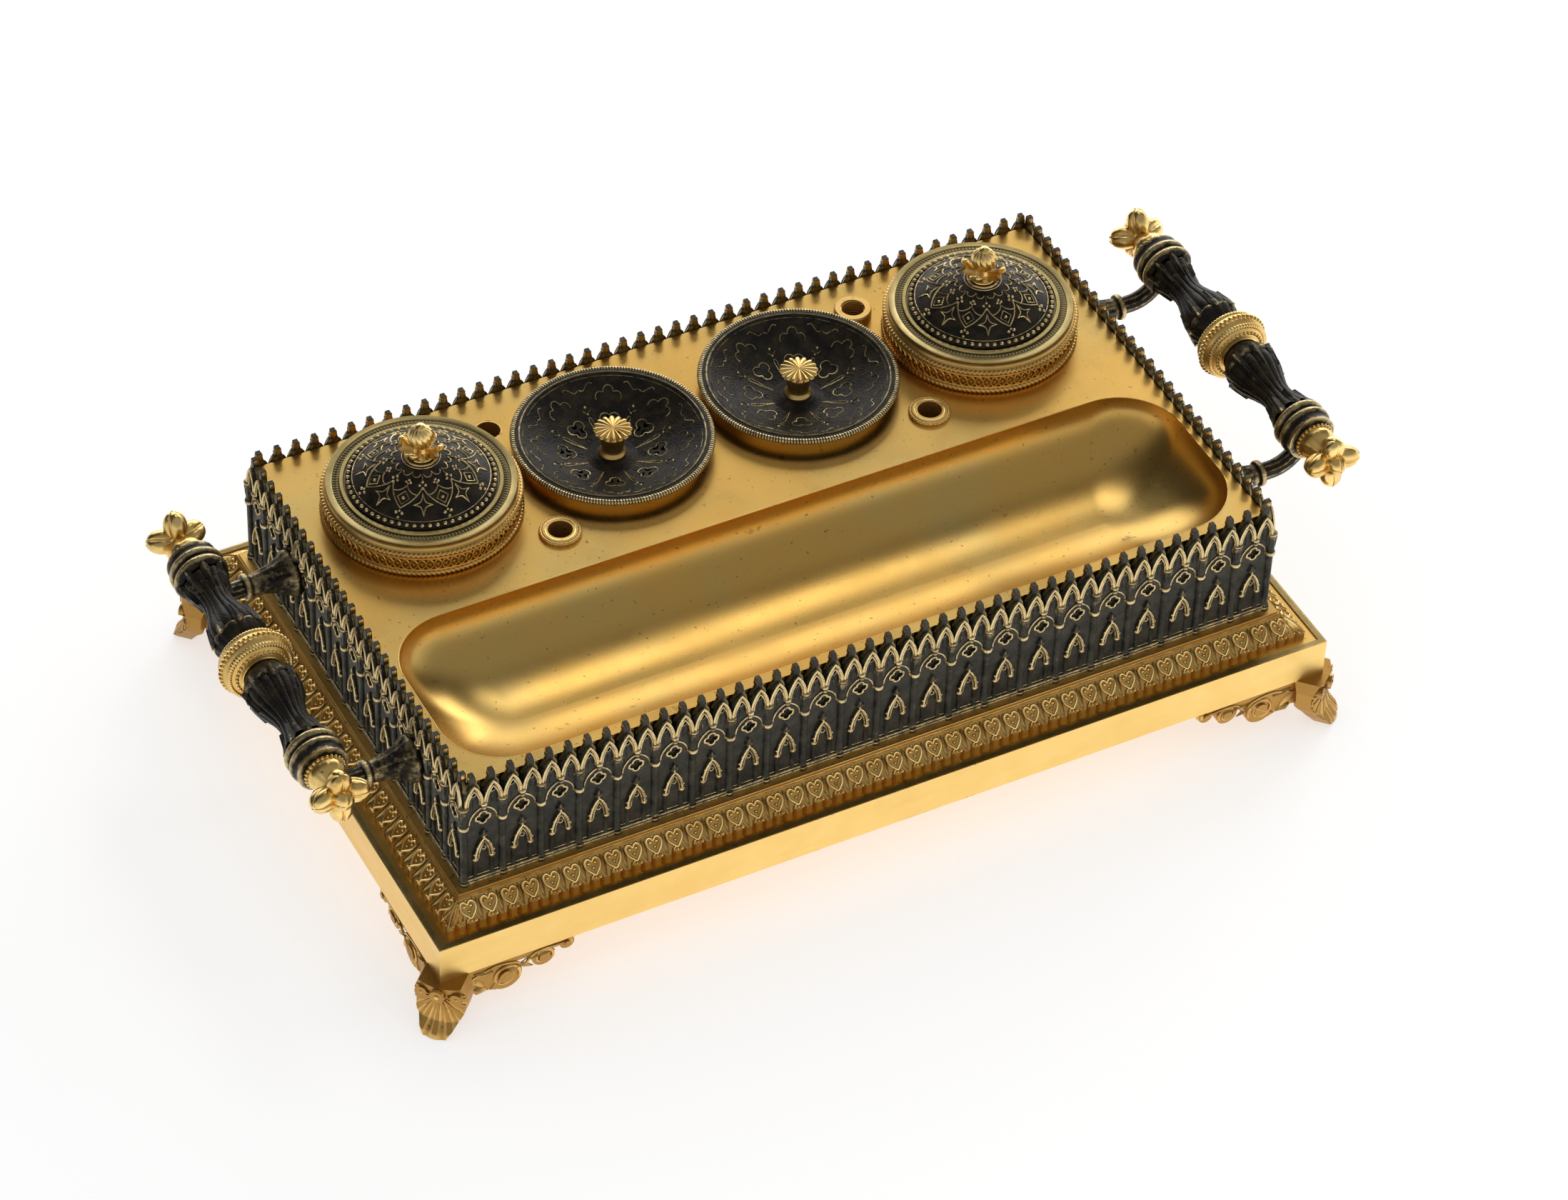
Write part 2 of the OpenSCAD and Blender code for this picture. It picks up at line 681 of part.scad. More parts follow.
// A glass pot with a lip that hangs on the collar's ledge, and a neck inside the lid.
module ink_pot(well) {
  neck_r = pot_r - 3.4;
  neck_z = collar_z + 3.8;
  bowl_r = pot_r - glass_t;
  color(glassy) in_well(well) turned([[0, pot_low], [pot_r - 2, pot_low], [pot_r, pot_low + 2],
    [pot_r, pot_lip_z], [pot_lip_r, pot_lip_z], [pot_lip_r, plate_z], [neck_r, plate_z], [neck_r, neck_z],
    [neck_r - glass_t, neck_z], [neck_r - glass_t, plate_z - 1], [bowl_r, pot_lip_z - 2.5],
    [bowl_r, pot_low + glass_t + 2], [bowl_r - 2, pot_low + glass_t], [0, pot_low + glass_t]]);
}

// A plain metal cup with a lip that hangs on the collar's ledge.
module cup(well) {
  in_r = pot_r - cup_t;
  color(brass) in_well(well) turned([[0, pot_low], [pot_r - 2, pot_low], [pot_r, pot_low + 2],
    [pot_r, pot_lip_z], [pot_lip_r, pot_lip_z], [pot_lip_r, plate_z], [in_r, plate_z],
    [in_r, pot_low + cup_t + 2], [in_r - 2, pot_low + cup_t], [0, pot_low + cup_t]]);
}

// ---------- ink lids ----------

// The drum of an ink lid: a band between two rope mouldings, over a hollow that clears the collar.
module ink_lid_drum(well) {
  hollow = drum_in - 2.3;
  rope_z = rope_r + 0.1;
  step_r = medal_r + 2;
  color(brass) in_well(well) {
    turned([[drum_in, lid_z], [drum_r, lid_z], [drum_r, drum_z - 3.4], [drum_r - 1, drum_z - 2.4],
      [drum_r - 0.9, drum_z - 0.4], [drum_r - 1.3, drum_z], [step_r + 2.3, drum_z],
      [step_r + 2.3, drum_z - 0.4], [step_r, drum_z - 0.4], [step_r, drum_z + 0.4],
      [step_r - 1.4, drum_z + 0.4], [step_r - 1.4, drum_z],
      [stud_r + fit_gap, drum_z], [stud_r + fit_gap, drum_z - drum_t], [hollow, drum_z - drum_t],
      [hollow, collar_z + seat_gap], [drum_in, collar_z + seat_gap]]);
    wire_ring(drum_r + 0.1, rope_r, lid_z + rope_z);
    wire_ring(drum_r - 0.1, rope_r, drum_z - 3.9);
  }
}

// Points of the dome of the medallion, lowered by d, from its edge to the finial's seat.
function dome(d, r0, r1) =
  [for (i = [0:5]) let (r = r0 + (r1 - r0) * i / 5, s = (medal_r - 1.8 - r) / (medal_r - 6.3))
    [r, drum_z + 1.3 - d + (medal_h - 1.3) * (1.25 * s - 0.25 * s * s)]];

// The domed medallion, cast hollow, with a ring of beads at its edge.
module ink_lid_medallion(well) {
  color(dark) in_well(well) {
    turned(concat([[medal_r - 1.6, drum_z], [medal_r, drum_z], [medal_r, drum_z + 1]],
      dome(0, medal_r - 1.8, 4.5), [[stud_r + fit_gap, medal_z], [stud_r + fit_gap, medal_z - medal_t - 0.4]],
      [for (i = [5:-1:0]) dome(medal_t, medal_r - 3, 4.5)[i]]));
    wire_ring(medal_r - 0.8, 0.7, drum_z + 1.25);
  }
}

// A pointed bud of length l and radius r, standing on the origin.
module bud(l, r) {
  turned([[0, 0], [r * 0.55, l * 0.12], [r, l * 0.45], [r * 0.8, l * 0.75], [r * 0.25, l * 0.97], [0, l]]);
}

// The gilt finial: a turned foot, four curling leaves, a ball, and the stud that holds the lid together.
module ink_lid_finial(well) {
  ball_z = finial_h - 5.9;
  color(gilt) in_well(well) translate([0, 0, medal_z]) {
    turned([[0, 0], [4.2, 0], [4.2, 0.8], [2.3, 1.9], [2, 3.4], [2.8, 4.4], [2.6, 6], [0, 6]]);
    for (a = [45:90:315]) rotate([0, 0, a]) translate([0.6, 0, 4.2]) rotate([0, 62, 0]) bud(7, 1.9);
    translate([0, 0, ball_z]) sphere(4.5);
    translate([0, 0, ball_z + 3.6]) cylinder(r1 = 2.4, r2 = 0.6, h = finial_h - ball_z - 3.6);
    translate([0, 0, drum_z - drum_t - lid_nut[1] - 0.2 - medal_z])
      cylinder(r = stud_r, h = medal_h + drum_t + lid_nut[1] + 1);
  }
}

module ink_lid_nut(well) {
  color(steel) in_well(well) translate([0, 0, drum_z - drum_t - lid_nut[1]]) nut(lid_nut);
}

// ---------- dishes ----------

// Points along the hollow of a dish at shares of its radius, lowered by d.
function hollow(d, shares) = [for (q = shares) [q * dish_in, dish_mid - d + dish_d * q * q]];

// A dished cover with a rope rim, which stands on the collar by a short skirt.
module dish_form() {
  bore = screw_r + fit_gap;
  turned(concat([[bore, dish_mid + 0.3], [5.2, dish_mid + 0.3]],
    hollow(0, [0.23, 0.39, 0.55, 0.68, 0.81, 0.9, 1]),
    [[dish_r - 1.4, dish_z + 2.7], [dish_r - 1.2, dish_z + 1.2], [collar_r - 0.5, dish_z + 0.8],
     [collar_r - 0.5, dish_z], [collar_r - 2.4, dish_z]],
    hollow(dish_t, [(collar_r - 3.2) / dish_in, 0.81, 0.68, 0.55, 0.39, 0.23]),
    [[bore, dish_mid - dish_t]]));
  wire_ring(dish_r - rope_r, rope_r, dish_z + 2);
}

module pounce_dish() {
  color(dark) in_well(1) difference() {
    dish_form();
    for (a = [0:45:315]) rotate([0, 0, a + 22.5]) {
      for (q = [[17.2, 0], [14.6, 1.5], [14.6, -1.5]])
        translate([q[0], q[1], dish_mid - 5]) cylinder(r = 1, h = dish_d + 5);
      rotate([0, 0, 22.5]) translate([10, 0, dish_mid - 5]) cylinder(r = 0.6, h = dish_d + 5);
    }
  }
}

module wafer_dish() {
  color(dark) in_well(2) dish_form();
}

// A vase knob under a sixteen-petalled rosette, with the stud that screws into the dish.
module dish_knob(well) {
  petals = [for (i = [0:31]) let (r = i % 2 == 0 ? 6.7 : 5.7) [r * cos(11.25 * i), r * sin(11.25 * i)]];
  color(gilt) in_well(well) translate([0, 0, dish_mid + 0.3]) {
    turned([[0, 0], [4.6, 0], [4.6, 0.9], [3.4, 2.2], [3.4, 3.2], [4.1, knob_h - 5], [4.5, knob_h - 3.4],
      [5.4, knob_h - 1.5], [0, knob_h - 1.5]]);
    translate([0, 0, knob_h - 1.8]) rotate([0, 0, 3]) linear_extrude(1.2) polygon(petals);
    translate([0, 0, knob_h - 0.8]) cylinder(r1 = 5.5, r2 = 1, h = 0.8);
    translate([0, 0, -dish_t - 1.6]) cylinder(r = screw_r, h = dish_t + 2);
  }
}

// ---------- quill holders ----------

// A closed sleeve through the plate, with an outline of [radius, height above the plate] for its head.
module quill_sleeve(x, y, head) {
  low = -quill_depth;
  color(gilt) translate([x, y, plate_z]) turned(concat([[0, low], [quill_out, low], [quill_out, 0]], head,
    [[quill_r, low + 1], [0, low + 1]]));
}

module quill_socket(side) {
  x = side == "left" ? -quill_x : quill_x;
  quill_sleeve(x, quill_y1, [[quill_r + 2.8, 0], [quill_r + 2.8, 0.7], [quill_r + 1.7, 1.5], [quill_r, 1.5]]);
  color(gilt) translate([x, quill_y1, plate_z]) wire_ring(quill_r + 2.4, 0.6, 0.75);
}

module quill_sleeve_back_left() {
  quill_sleeve(-quill_x, quill_y2, [[quill_r, 0]]);
}

module quill_tube_back_right() {
  quill_sleeve(quill_x, quill_y2, [[quill_r + 2.4, 0], [quill_r + 2.4, tube_h - 0.5], [quill_r + 1.9, tube_h],
    [quill_r, tube_h]]);
}

// ---------- handles ----------

// Places a piece turned about Z on the bar of a handle, with Z pointing to the end.
module on_bar(side, end) {
  translate([side == "left" ? -handle_x : handle_x, 0, handle_z])
    rotate([end == "front" ? 90 : -90, 0, 0]) children();
}

// Moves a piece drawn at the right and back, on Y = 0, to one of the four arms.
module at_arm(side, end) {
  scale_flip(side == "left" ? -1 : 1, end == "front" ? -1 : 1) translate([0, arm_y, 0]) children();
}

// The tenon and the quarter bend of an arm, with radius r. The bar is cut to the same form.
module arm_end(r) {
  bend = handle_x - arm_bend;
  translate([handle_x, 0, arm_z + bend]) cylinder(r = r, h = handle_z + arm_top - arm_z - bend + r - arm_r);
  translate([arm_bend, 0, arm_z + bend]) rotate([-90, 0, 0]) rotate_extrude(angle = 90)
    translate([bend, 0]) circle(r);
}

module handle_rod(side) {
  reach = bar_1 + 6;
  color(steel) on_bar(side, "back") translate([0, 0, -reach]) cylinder(r = rod_r, h = 2 * reach);
}

module handle_ring(side) {
  bore = rod_r + fit_gap;
  color(gilt) on_bar(side, "back") {
    turned([[bore, -bar_0], [6, -bar_0], [9, -bar_0 + 0.9], [11.2, -bar_0 + 2.5], [12.2, -1.6], [12.2, 1.6],
      [11.2, bar_0 - 2.5], [9, bar_0 - 0.9], [6, bar_0], [bore, bar_0]]);
    wire_ring(ring_r - 1.3, 1.3, 0);
    for (z = [-1, 1]) {
      wire_ring(10.7, 0.8, z * (bar_0 - 2.4));
      wire_ring(8.4, 0.7, z * (bar_0 - 0.8));
    }
  }
}

// The turned outline of a bar from its bulb to its double collar, narrowed by d.
function bar_side(d) = [for (q = [[1, 0.28], [0.9, 0.375], [0.7, 0.5], [0.56, 0.635], [0.7, 0.77],
  [0.9, 0.855], [0.865, 0.896]]) [q[0] * bar_r - d, q[1] * arm_y]];

// Half of a handle's bar: a leafy bulb, a fluted waist, and a double collar over the arm.
module handle_bar(side, end) {
  bore = rod_r + fit_gap;
  color(dark) difference() {
    on_bar(side, end) {
      turned(concat([[bore, bar_0], [0.72 * bar_r, bar_0], [0.9 * bar_r, 0.175 * arm_y],
          [1.01 * bar_r, 0.242 * arm_y]], bar_side(0.6),
        [[8.3, arm_y - 4.6], [8.3, arm_y + 2.6], [8.8, arm_y + 4], [8.6, bar_1], [bore, bar_1]]));
      for (a = [0:22.5:337.5]) rotate([0, 0, a + 5]) rotate_extrude(angle = 11)
        polygon(concat([[0.4 * bar_r, 0.296 * arm_y]], [for (q = bar_side(0)) if (q[1] > 0.29 * arm_y) q],
          [[0.4 * bar_r, 0.896 * arm_y]]));
      for (tip = [[0.955, 0.246], [0.83, 0.85]], a = [0:45:315])
        rotate([0, 0, a + 10]) translate([tip[0] * bar_r, 0, tip[1] * arm_y]) sphere(1.5);
      wire_ring(8.1, 1.5, arm_y - 3.4);
      wire_ring(8.1, 1.5, arm_y + 0.6);
    }
    at_arm(side, end) arm_end(arm_r + fit_gap);
  }
}

// A finial of five buds, bored for the end of the rod.
module handle_finial(side, end) {
  bore = rod_r + fit_gap;
  color(gilt) on_bar(side, end) translate([0, 0, bar_1]) {
    turned([[bore, 0], [6.9, 0], [7.2, 0.8], [6.3, 2], [6.2, 3.6], [4.6, 6.2], [3.4, 8], [4, 9.5], [3.2, 11],
      [0, 11.6], [0, 6.4], [bore, 6.4]]);
    translate([0, 0, 10]) bud(9, 3.2);
    for (a = [0:90:270]) rotate([0, 0, a]) translate([0.5, 0, 9.6]) rotate([0, 66, 0]) bud(11.5, 3);
  }
}

// A bent arm: a tenon in the bar, a quarter bend, and a spreading boss with a stud through the gallery.
module handle_arm(side, end) {
  out = arm_bend - arm_seat;
  color(dark) at_arm(side, end) difference() {
    union() {
      arm_end(arm_r);
      translate([arm_seat, 0, arm_z]) rotate([0, 90, 0]) turned([[0, stud_in - arm_seat],
        [stud_r, stud_in - arm_seat], [stud_r, 0], [arm_foot, 0], [arm_foot - 0.4, 1.6], [5.4, 4.6],
        [4.2, 8.5],
        [3.7, 13], [3.6, 15.4], [4.6, 15.8], [4.6, 17.2], [arm_r, 17.8], [arm_r, out], [0, out]]);
    }
    translate([handle_x, -10, handle_z]) rotate([-90, 0, 0]) cylinder(r = rod_r + fit_gap, h = 20);
  }
}

module arm_nuts() {
  color(steel) for (s = [-1, 1], e = [-1, 1]) scale_flip(s, e)
    translate([gx - panel_in - arm_nut[1], arm_y, arm_z]) rotate([0, 90, 0]) nut(arm_nut);
}

// ---------- the stand ----------

plinth_band();
deck_plate();
deck_screws();
for (e = ["front", "back"], s = sides)
  foot(e, s);
for (w = ["front", "back", "left", "right"])
  frieze(w);
gallery_seat();
for (w = ["front", "back"])
  gallery_long(w);
for (w = sides)
  gallery_short(w);
corner_posts();
top_plate();
collar(0);  // ink_collar_left
collar(1);  // pounce_collar
collar(2);  // wafer_collar
collar(3);  // ink_collar_right
for (s = sides)
  quill_socket(s);
quill_sleeve_back_left();
quill_tube_back_right();
arm_nuts();
for (s = sides) {
  handle_rod(s);
  handle_ring(s);
  for (e = ["front", "back"]) {
    handle_bar(s, e);
    handle_finial(s, e);
    handle_arm(s, e);
  }
}
for (k = [0, 1]) {
  ink_pot(3 * k);
  ink_lid_drum(3 * k);
  ink_lid_medallion(3 * k);
  ink_lid_finial(3 * k);
  ink_lid_nut(3 * k);
}
cup(1);  // pounce_pot
pounce_dish();
dish_knob(1);  // pounce_knob
cup(2);  // wafer_pot
wafer_dish();
dish_knob(2);  // wafer_knob
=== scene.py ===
import logging
import math
from dataclasses import dataclass
from enum import Enum
from typing import Callable, Optional, Sequence

import bpy
import numpy as np
from mathutils import Matrix, Vector

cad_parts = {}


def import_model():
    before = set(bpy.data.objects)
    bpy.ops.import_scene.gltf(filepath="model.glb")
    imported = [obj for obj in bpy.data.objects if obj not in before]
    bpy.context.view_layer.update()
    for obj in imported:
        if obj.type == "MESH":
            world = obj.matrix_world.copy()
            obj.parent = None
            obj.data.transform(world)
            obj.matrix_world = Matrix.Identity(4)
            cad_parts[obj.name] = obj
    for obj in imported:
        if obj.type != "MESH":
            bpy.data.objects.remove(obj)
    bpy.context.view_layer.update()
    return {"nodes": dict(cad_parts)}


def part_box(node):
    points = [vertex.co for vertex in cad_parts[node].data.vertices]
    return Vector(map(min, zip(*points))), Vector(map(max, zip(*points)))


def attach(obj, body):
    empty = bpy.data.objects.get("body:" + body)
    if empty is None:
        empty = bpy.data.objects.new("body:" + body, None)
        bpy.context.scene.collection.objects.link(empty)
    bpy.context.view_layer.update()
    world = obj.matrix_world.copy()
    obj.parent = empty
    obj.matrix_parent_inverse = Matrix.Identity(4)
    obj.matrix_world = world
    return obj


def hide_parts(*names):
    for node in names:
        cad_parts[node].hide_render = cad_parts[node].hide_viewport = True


Array = np.ndarray
Numbers = float | Sequence[float] | Array
Points = Sequence[Sequence[float]] | Array
Colour = tuple[float, float, float, float]
Material = bpy.types.Material
Solids = Sequence[str]
Surface = Callable[[Array, Array], Array]
Swell = Callable[[Array], Array]

LOG = logging.getLogger("inkstand")
MM = 0.001
TAU = 2 * math.pi
STAND = "stand"
WEAR = "wear"
SHARP_FROM = 48
UP = (0, 0, 1)
HERE = np.eye(4)
MIRROR_X = np.diag([-1.0, 1, 1, 1])
FLIP = np.array([-1, 1])
ALONG_X = np.array([[0, 0, 1.0], [0, 1, 0], [-1, 0, 0]])
NO_QUADS = np.zeros((0, 4), int)
NO_TRIS = np.zeros((0, 3), int)


# ---------------------------------------------------------------- shapes


def grid_faces(rows: int, cols: int, wrap_rows: bool = False, wrap_cols: bool = False) -> Array:
    """Quads of a grid of points.

    Args:
        rows: How many rows of points there are.
        cols: How many points a row has.
        wrap_rows: Whether the last row joins the first one.
        wrap_cols: Whether the last point of a row joins its first one.

    Returns:
        An array of shape (faces, 4) of point numbers.
    """
    r = np.arange(rows if wrap_rows else rows - 1)[:, None]
    c = np.arange(cols if wrap_cols else cols - 1)[None, :]
    r2, c2 = (r + 1) % rows, (c + 1) % cols
    return np.stack([r * cols + c, r * cols + c2, r2 * cols + c2, r2 * cols + c], -1).reshape(-1, 4)


def fan(count: int, first: int, centre: int, turned: bool) -> Array:
    """Triangles from a ring of points to its centre.

    Args:
        count: How many points the ring has.
        first: The number of its first point.
        centre: The number of the point in its middle.
        turned: Whether the triangles face the other way.

    Returns:
        The point numbers of each triangle.
    """
    j = np.arange(count)
    pair = (j, (j + 1) % count)
    a, b = pair[::-1] if turned else pair
    return np.stack([first + a, first + b, np.full(count, centre)], -1)


def unit(vectors: Array) -> Array:
    """Vectors made one long, along the last axis."""
    return vectors / np.maximum(np.linalg.norm(vectors, axis=-1, keepdims=True), 1e-9)


def polar(radius: Numbers, angle: Numbers, height: Numbers) -> Array:
    """Places round the Z axis, from their radius, angle and height."""
    return np.stack(np.broadcast_arrays(radius * np.cos(angle), radius * np.sin(angle), height), -1)


def arc(centre: Sequence[float], radius: float, start: float, end: float, count: int) -> Array:
    """Points on an arc in a plane.

    Args:
        centre: The arc's centre.
        radius: Its radius.
        start: The first angle, in degrees.
        end: The last angle, in degrees.
        count: How many points it has.

    Returns:
        An array of shape (count, 2).
    """
    angle = np.radians(np.linspace(start, end, count))
    return np.asarray(centre) + radius * np.stack([np.cos(angle), np.sin(angle)], -1)


def circle(centre: Sequence[float], radius: float, count: int = 12) -> Array:
    """The points of a circle in a plane."""
    return arc(centre, radius, 0, 360, count + 1)[:-1]


def lancet(half: float, rise: float, foot: float, count: int, x: float = 0.0) -> Array:
    """A pointed arch from its left foot over its apex to its right foot.

    Args:
        half: Half the width of the arch.
        rise: Its height above its feet.
        foot: The height of its feet.
        count: How many points each side has.
        x: Where its middle is.

    Returns:
        An array of shape (2 * count - 1, 2).
    """
    radius = (half * half + rise * rise) / (2 * half)
    right = arc((half - radius, foot), radius, 0, math.degrees(math.asin(min(1.0, rise / radius))), count)
    return np.concatenate([right * FLIP, right[::-1][1:]]) + [x, 0]


def lobed(lobes: int, radius: float, reach: float, count: int = 8) -> Array:
    """An outline of round lobes.

    Args:
        lobes: How many lobes it has.
        radius: The radius of each lobe.
        reach: How far the lobes' centres lie from the middle.
        count: How many stretches each lobe has.

    Returns:
        Its points.
    """
    spread, turn = 180 / lobes + 52, 360 / lobes
    middles = circle((0, 0), reach, lobes)
    return np.concatenate([arc(middle, radius, turn * k - spread, turn * k + spread, count)
                           for k, middle in enumerate(middles)])


def smooth(points: Points, steps: int = 3, closed: bool = False) -> Array:
    """A smooth curve through points.

    Args:
        points: The points that it passes through.
        steps: How many points it has for each stretch.
        closed: Whether it returns to its start.

    Returns:
        The points of the curve.
    """
    p = np.asarray(points, float)
    n = len(p)
    t = (np.arange(steps) / steps)[:, None]
    made = []
    for i in range(n if closed else n - 1):
        spots = [i + k for k in (-1, 0, 1, 2)]
        a, b, c, d = (p[k % n] if closed else p[min(max(k, 0), n - 1)] for k in spots)
        made.append(0.5 * (2 * b + (c - a) * t + (2 * a - 5 * b + 4 * c - d) * t ** 2
                           + (3 * b - a - 3 * c + d) * t ** 3))
    return np.concatenate(made if closed else [*made, p[-1:]])


def both(half: Points) -> Array:
    """A closed outline from its right half, which starts and ends on the middle line."""
    half = np.asarray(half, float)
    return np.concatenate([half, (half * FLIP)[::-1][1:-1]])


def over(half: Points, steps: int) -> Array:
    """A smooth arch from its right half, which ends on the middle line."""
    half = smooth(half, steps)
    return np.concatenate([half * FLIP, half[::-1][1:]])


def ripple(count: int, sharp: float = 1.0) -> Swell:
    """A swell with a number of equal ridges round an axis."""
    return lambda angle: np.abs(np.cos(count * angle / 2)) ** sharp


def turned_to(direction: Sequence[float], up: Sequence[float] = UP) -> Array:
    """A rotation whose third column is a direction, and whose first leans towards up."""
    z = unit(np.asarray(direction, float))
    x = np.asarray(up, float) - np.dot(up, z) * z
    x = unit(x) if np.linalg.norm(x) > 1e-6 else np.array([1.0, 0, 0])
    return np.stack([x, np.cross(z, x), z], -1)


def placed(rotation: Array, at: Sequence[float] = (0, 0, 0)) -> Array:
    """A 4x4 matrix from a rotation and a place."""
    made = np.eye(4)
    made[:3, :3], made[:3, 3] = rotation, at
    return made


def moved(x: float = 0.0, y: float = 0.0, z: float = 0.0) -> Array:
    """The 4x4 matrix of a move."""
    return placed(np.eye(3), (x, y, z))


def carried(points: Array, place: Array) -> Array:
    """Points carried by a 4x4 matrix."""
    return points @ place[:3, :3].T + place[:3, 3]


def about_z(angle: float) -> Array:
    """The rotation about the Z axis by an angle in radians."""
    c, s = math.cos(angle), math.sin(angle)
    return np.array([[c, -s, 0], [s, c, 0], [0, 0, 1.0]])


def ring_places(count: int, radius: float = 0.0, height: float = 0.0, phase: float = 0.0) -> list[Array]:
    """Matrices that carry a piece round the Z axis, turned with it.

    Args:
        count: How many places there are.
        radius: Their distance from the axis.
        height: Their height.
        phase: The first angle, in radians.

    Returns:
        One 4x4 matrix for each place.
    """
    turns = [about_z(phase + TAU * k / count) for k in range(count)]
    return [placed(turn, turn @ [radius, 0, height]) for turn in turns]


class Casting:
    """Gathers the points, faces and wear of one piece, in millimetres.

    Wear runs from 0, the ground that keeps its patina, to 1, the high points that hands rub bright.
    """

    def __init__(self) -> None:
        """Starts an empty piece."""
        self.parts: list[tuple[Array, Array, Array, Array]] = []
        self.count = 0

    def add(self, points: Array, quads: Array = NO_QUADS, tris: Array = NO_TRIS, wear: Numbers = 0.0) -> None:
        """Adds points and the faces between them.

        Args:
            points: The points.
            quads: The point numbers of each face of four.
            tris: The point numbers of each face of three.
            wear: The wear, one value or one for each point.
        """
        points = np.asarray(points, float).reshape(-1, 3)
        worn = np.broadcast_to(np.asarray(wear, float).ravel(), (len(points),))
        self.parts.append((points, quads + self.count, tris + self.count, worn))
        self.count += len(points)

    def arrays(self) -> tuple[Array, ...]:
        """The points, quads, triangles and wear so far."""
        return tuple(np.concatenate(kind) for kind in zip(*self.parts))

    def copies(self, other: "Casting", places: Sequence[Array] = (HERE,)) -> None:
        """Adds another piece once at each place.

        Args:
            other: The piece that is repeated.
            places: One 4x4 matrix for each copy. A mirrored one has its faces turned round.
        """
        points, quads, tris, wear = other.arrays()
        for place in places:
            turn = -1 if np.linalg.det(place[:3, :3]) < 0 else 1
            self.add(carried(points, place), quads[:, ::turn], tris[:, ::turn], wear)

    def tube(self, path: Points, radius: Numbers, up: Sequence[float] | Array = UP, sides: int = 6,
             closed: bool = False, flat: float = 1.0, wear: Numbers = 1.0) -> None:
        """Adds a round moulding along a path.

        Args:
            path: The points it follows, of shape (n, 3).
            radius: Its radius, or one radius for each point.
            up: The direction that the surface faces, or one for each point.
            sides: How many sides it has.
            closed: Whether its end joins its start.
            flat: Its height as a share of its width.
            wear: Its wear, or one value for each point.
        """
        path = np.asarray(path, float)
        n = len(path)
        along = unit(np.roll(path, -1, 0) - np.roll(path, 1, 0) if closed else np.gradient(path, axis=0))
        side = unit(np.cross(np.broadcast_to(np.asarray(up, float), path.shape), along))
        lift = np.cross(along, side)
        angle = (TAU * (np.arange(sides) + 0.5) / sides)[:, None]
        ring = np.cos(angle) * side[:, None] + flat * np.sin(angle) * lift[:, None]
        size = np.broadcast_to(np.asarray(radius, float), (n,))[:, None, None]
        points = (path[:, None] + size * ring).reshape(-1, 3)
        worn = np.repeat(np.broadcast_to(np.asarray(wear, float), (n,)), sides)
        tris = NO_TRIS
        if not closed:
            points = np.concatenate([points, path[[0, -1]]])
            worn = np.concatenate([worn, worn[[0, -1]]])
            end = n * sides
            tris = np.concatenate([fan(sides, 0, end, True), fan(sides, end - sides, end + 1, False)])
        self.add(points, grid_faces(n, sides, closed, True), tris, worn)

    def hoop(self, radius: float, height: float, wire: float, count: int, sides: int, wear: float,
             outward: bool = False) -> None:
        """Adds a round moulding that runs round the Z axis.

        Args:
            radius: Its distance from the axis.
            height: Its height.
            wire: Its own radius.
            count: How many points it has round the axis.
            sides: How many sides it has.
            wear: Its wear.
            outward: Whether the first of its sides faces outwards instead of upwards.
        """
        path = np.concatenate([circle((0, 0), radius, count), np.full((count, 1), height)], 1)
        self.tube(path, wire, unit(path * [1, 1, 0]) if outward else UP, sides, True, wear=wear)

    def revolve(self, outline: Points, turns: int = 48, place: Array = HERE, swell: Optional[Swell] = None,
                by: Numbers = 0.0, wear: Numbers = 0.0) -> None:
        """Adds a turned piece, which may be fluted.

        Args:
            outline: Radius and height of each point, upwards on the outside.
            turns: How many points it has round its axis.
            place: The 4x4 matrix that carries it from the Z axis to its place.
            swell: The share of by that each angle adds to the radius.
            by: The most that is added to the radius at each point of the outline.
            wear: The wear of each point of the outline.
        """
        outline = np.asarray(outline, float)
        n = len(outline)
        angle = TAU * np.arange(turns) / turns
        radius = np.maximum(outline[:, :1], 0.01)
        if swell is not None:
            radius = radius + np.broadcast_to(np.asarray(by, float), (n,))[:, None] * swell(angle)
        ends = [[0, 0, outline[0, 1]], [0, 0, outline[-1, 1]]]
        points = np.concatenate([polar(radius, angle, outline[:, 1:]).reshape(-1, 3), ends])
        worn = np.repeat(np.broadcast_to(np.asarray(wear, float), (n,)), turns)
        caps = [fan(turns, row * turns, n * turns + (row > 0), row == 0)
                for row in (0, n - 1) if outline[row, 0] < 0.02]
        self.add(carried(points, place), grid_faces(n, turns, False, True), np.concatenate([NO_TRIS, *caps]),
                 np.concatenate([worn, worn[[0, -1]]]))

    def beads(self, places: Sequence[Array], radii: Numbers, rings: int = 4, turns: int = 8,
              wear: float = 1.0) -> None:
        """Adds a bead at each place, or a bud where its radii differ.

        Args:
            places: One 4x4 matrix for each bead.
            radii: Its radius, or one radius for each axis.
            rings: How many rings of faces it has.
            turns: How many points it has round its axis.
            wear: Its wear.
        """
        ball = Casting()
        ball.revolve(arc((0, 0), 1, -90, 90, rings + 1), turns, wear=wear)
        size = np.diag(np.broadcast_to(np.asarray(radii, float), (3,)))
        self.copies(ball, [place @ placed(size) for place in places])

    def sheet(self, points: Array, wear: Numbers = 0.0, closed: bool = False) -> None:
        """Adds a surface from a grid of points of shape (rows, columns, 3)."""
        rows, cols = points.shape[:2]
        self.add(points, grid_faces(rows, cols, False, closed), wear=np.broadcast_to(wear, (rows, cols)))

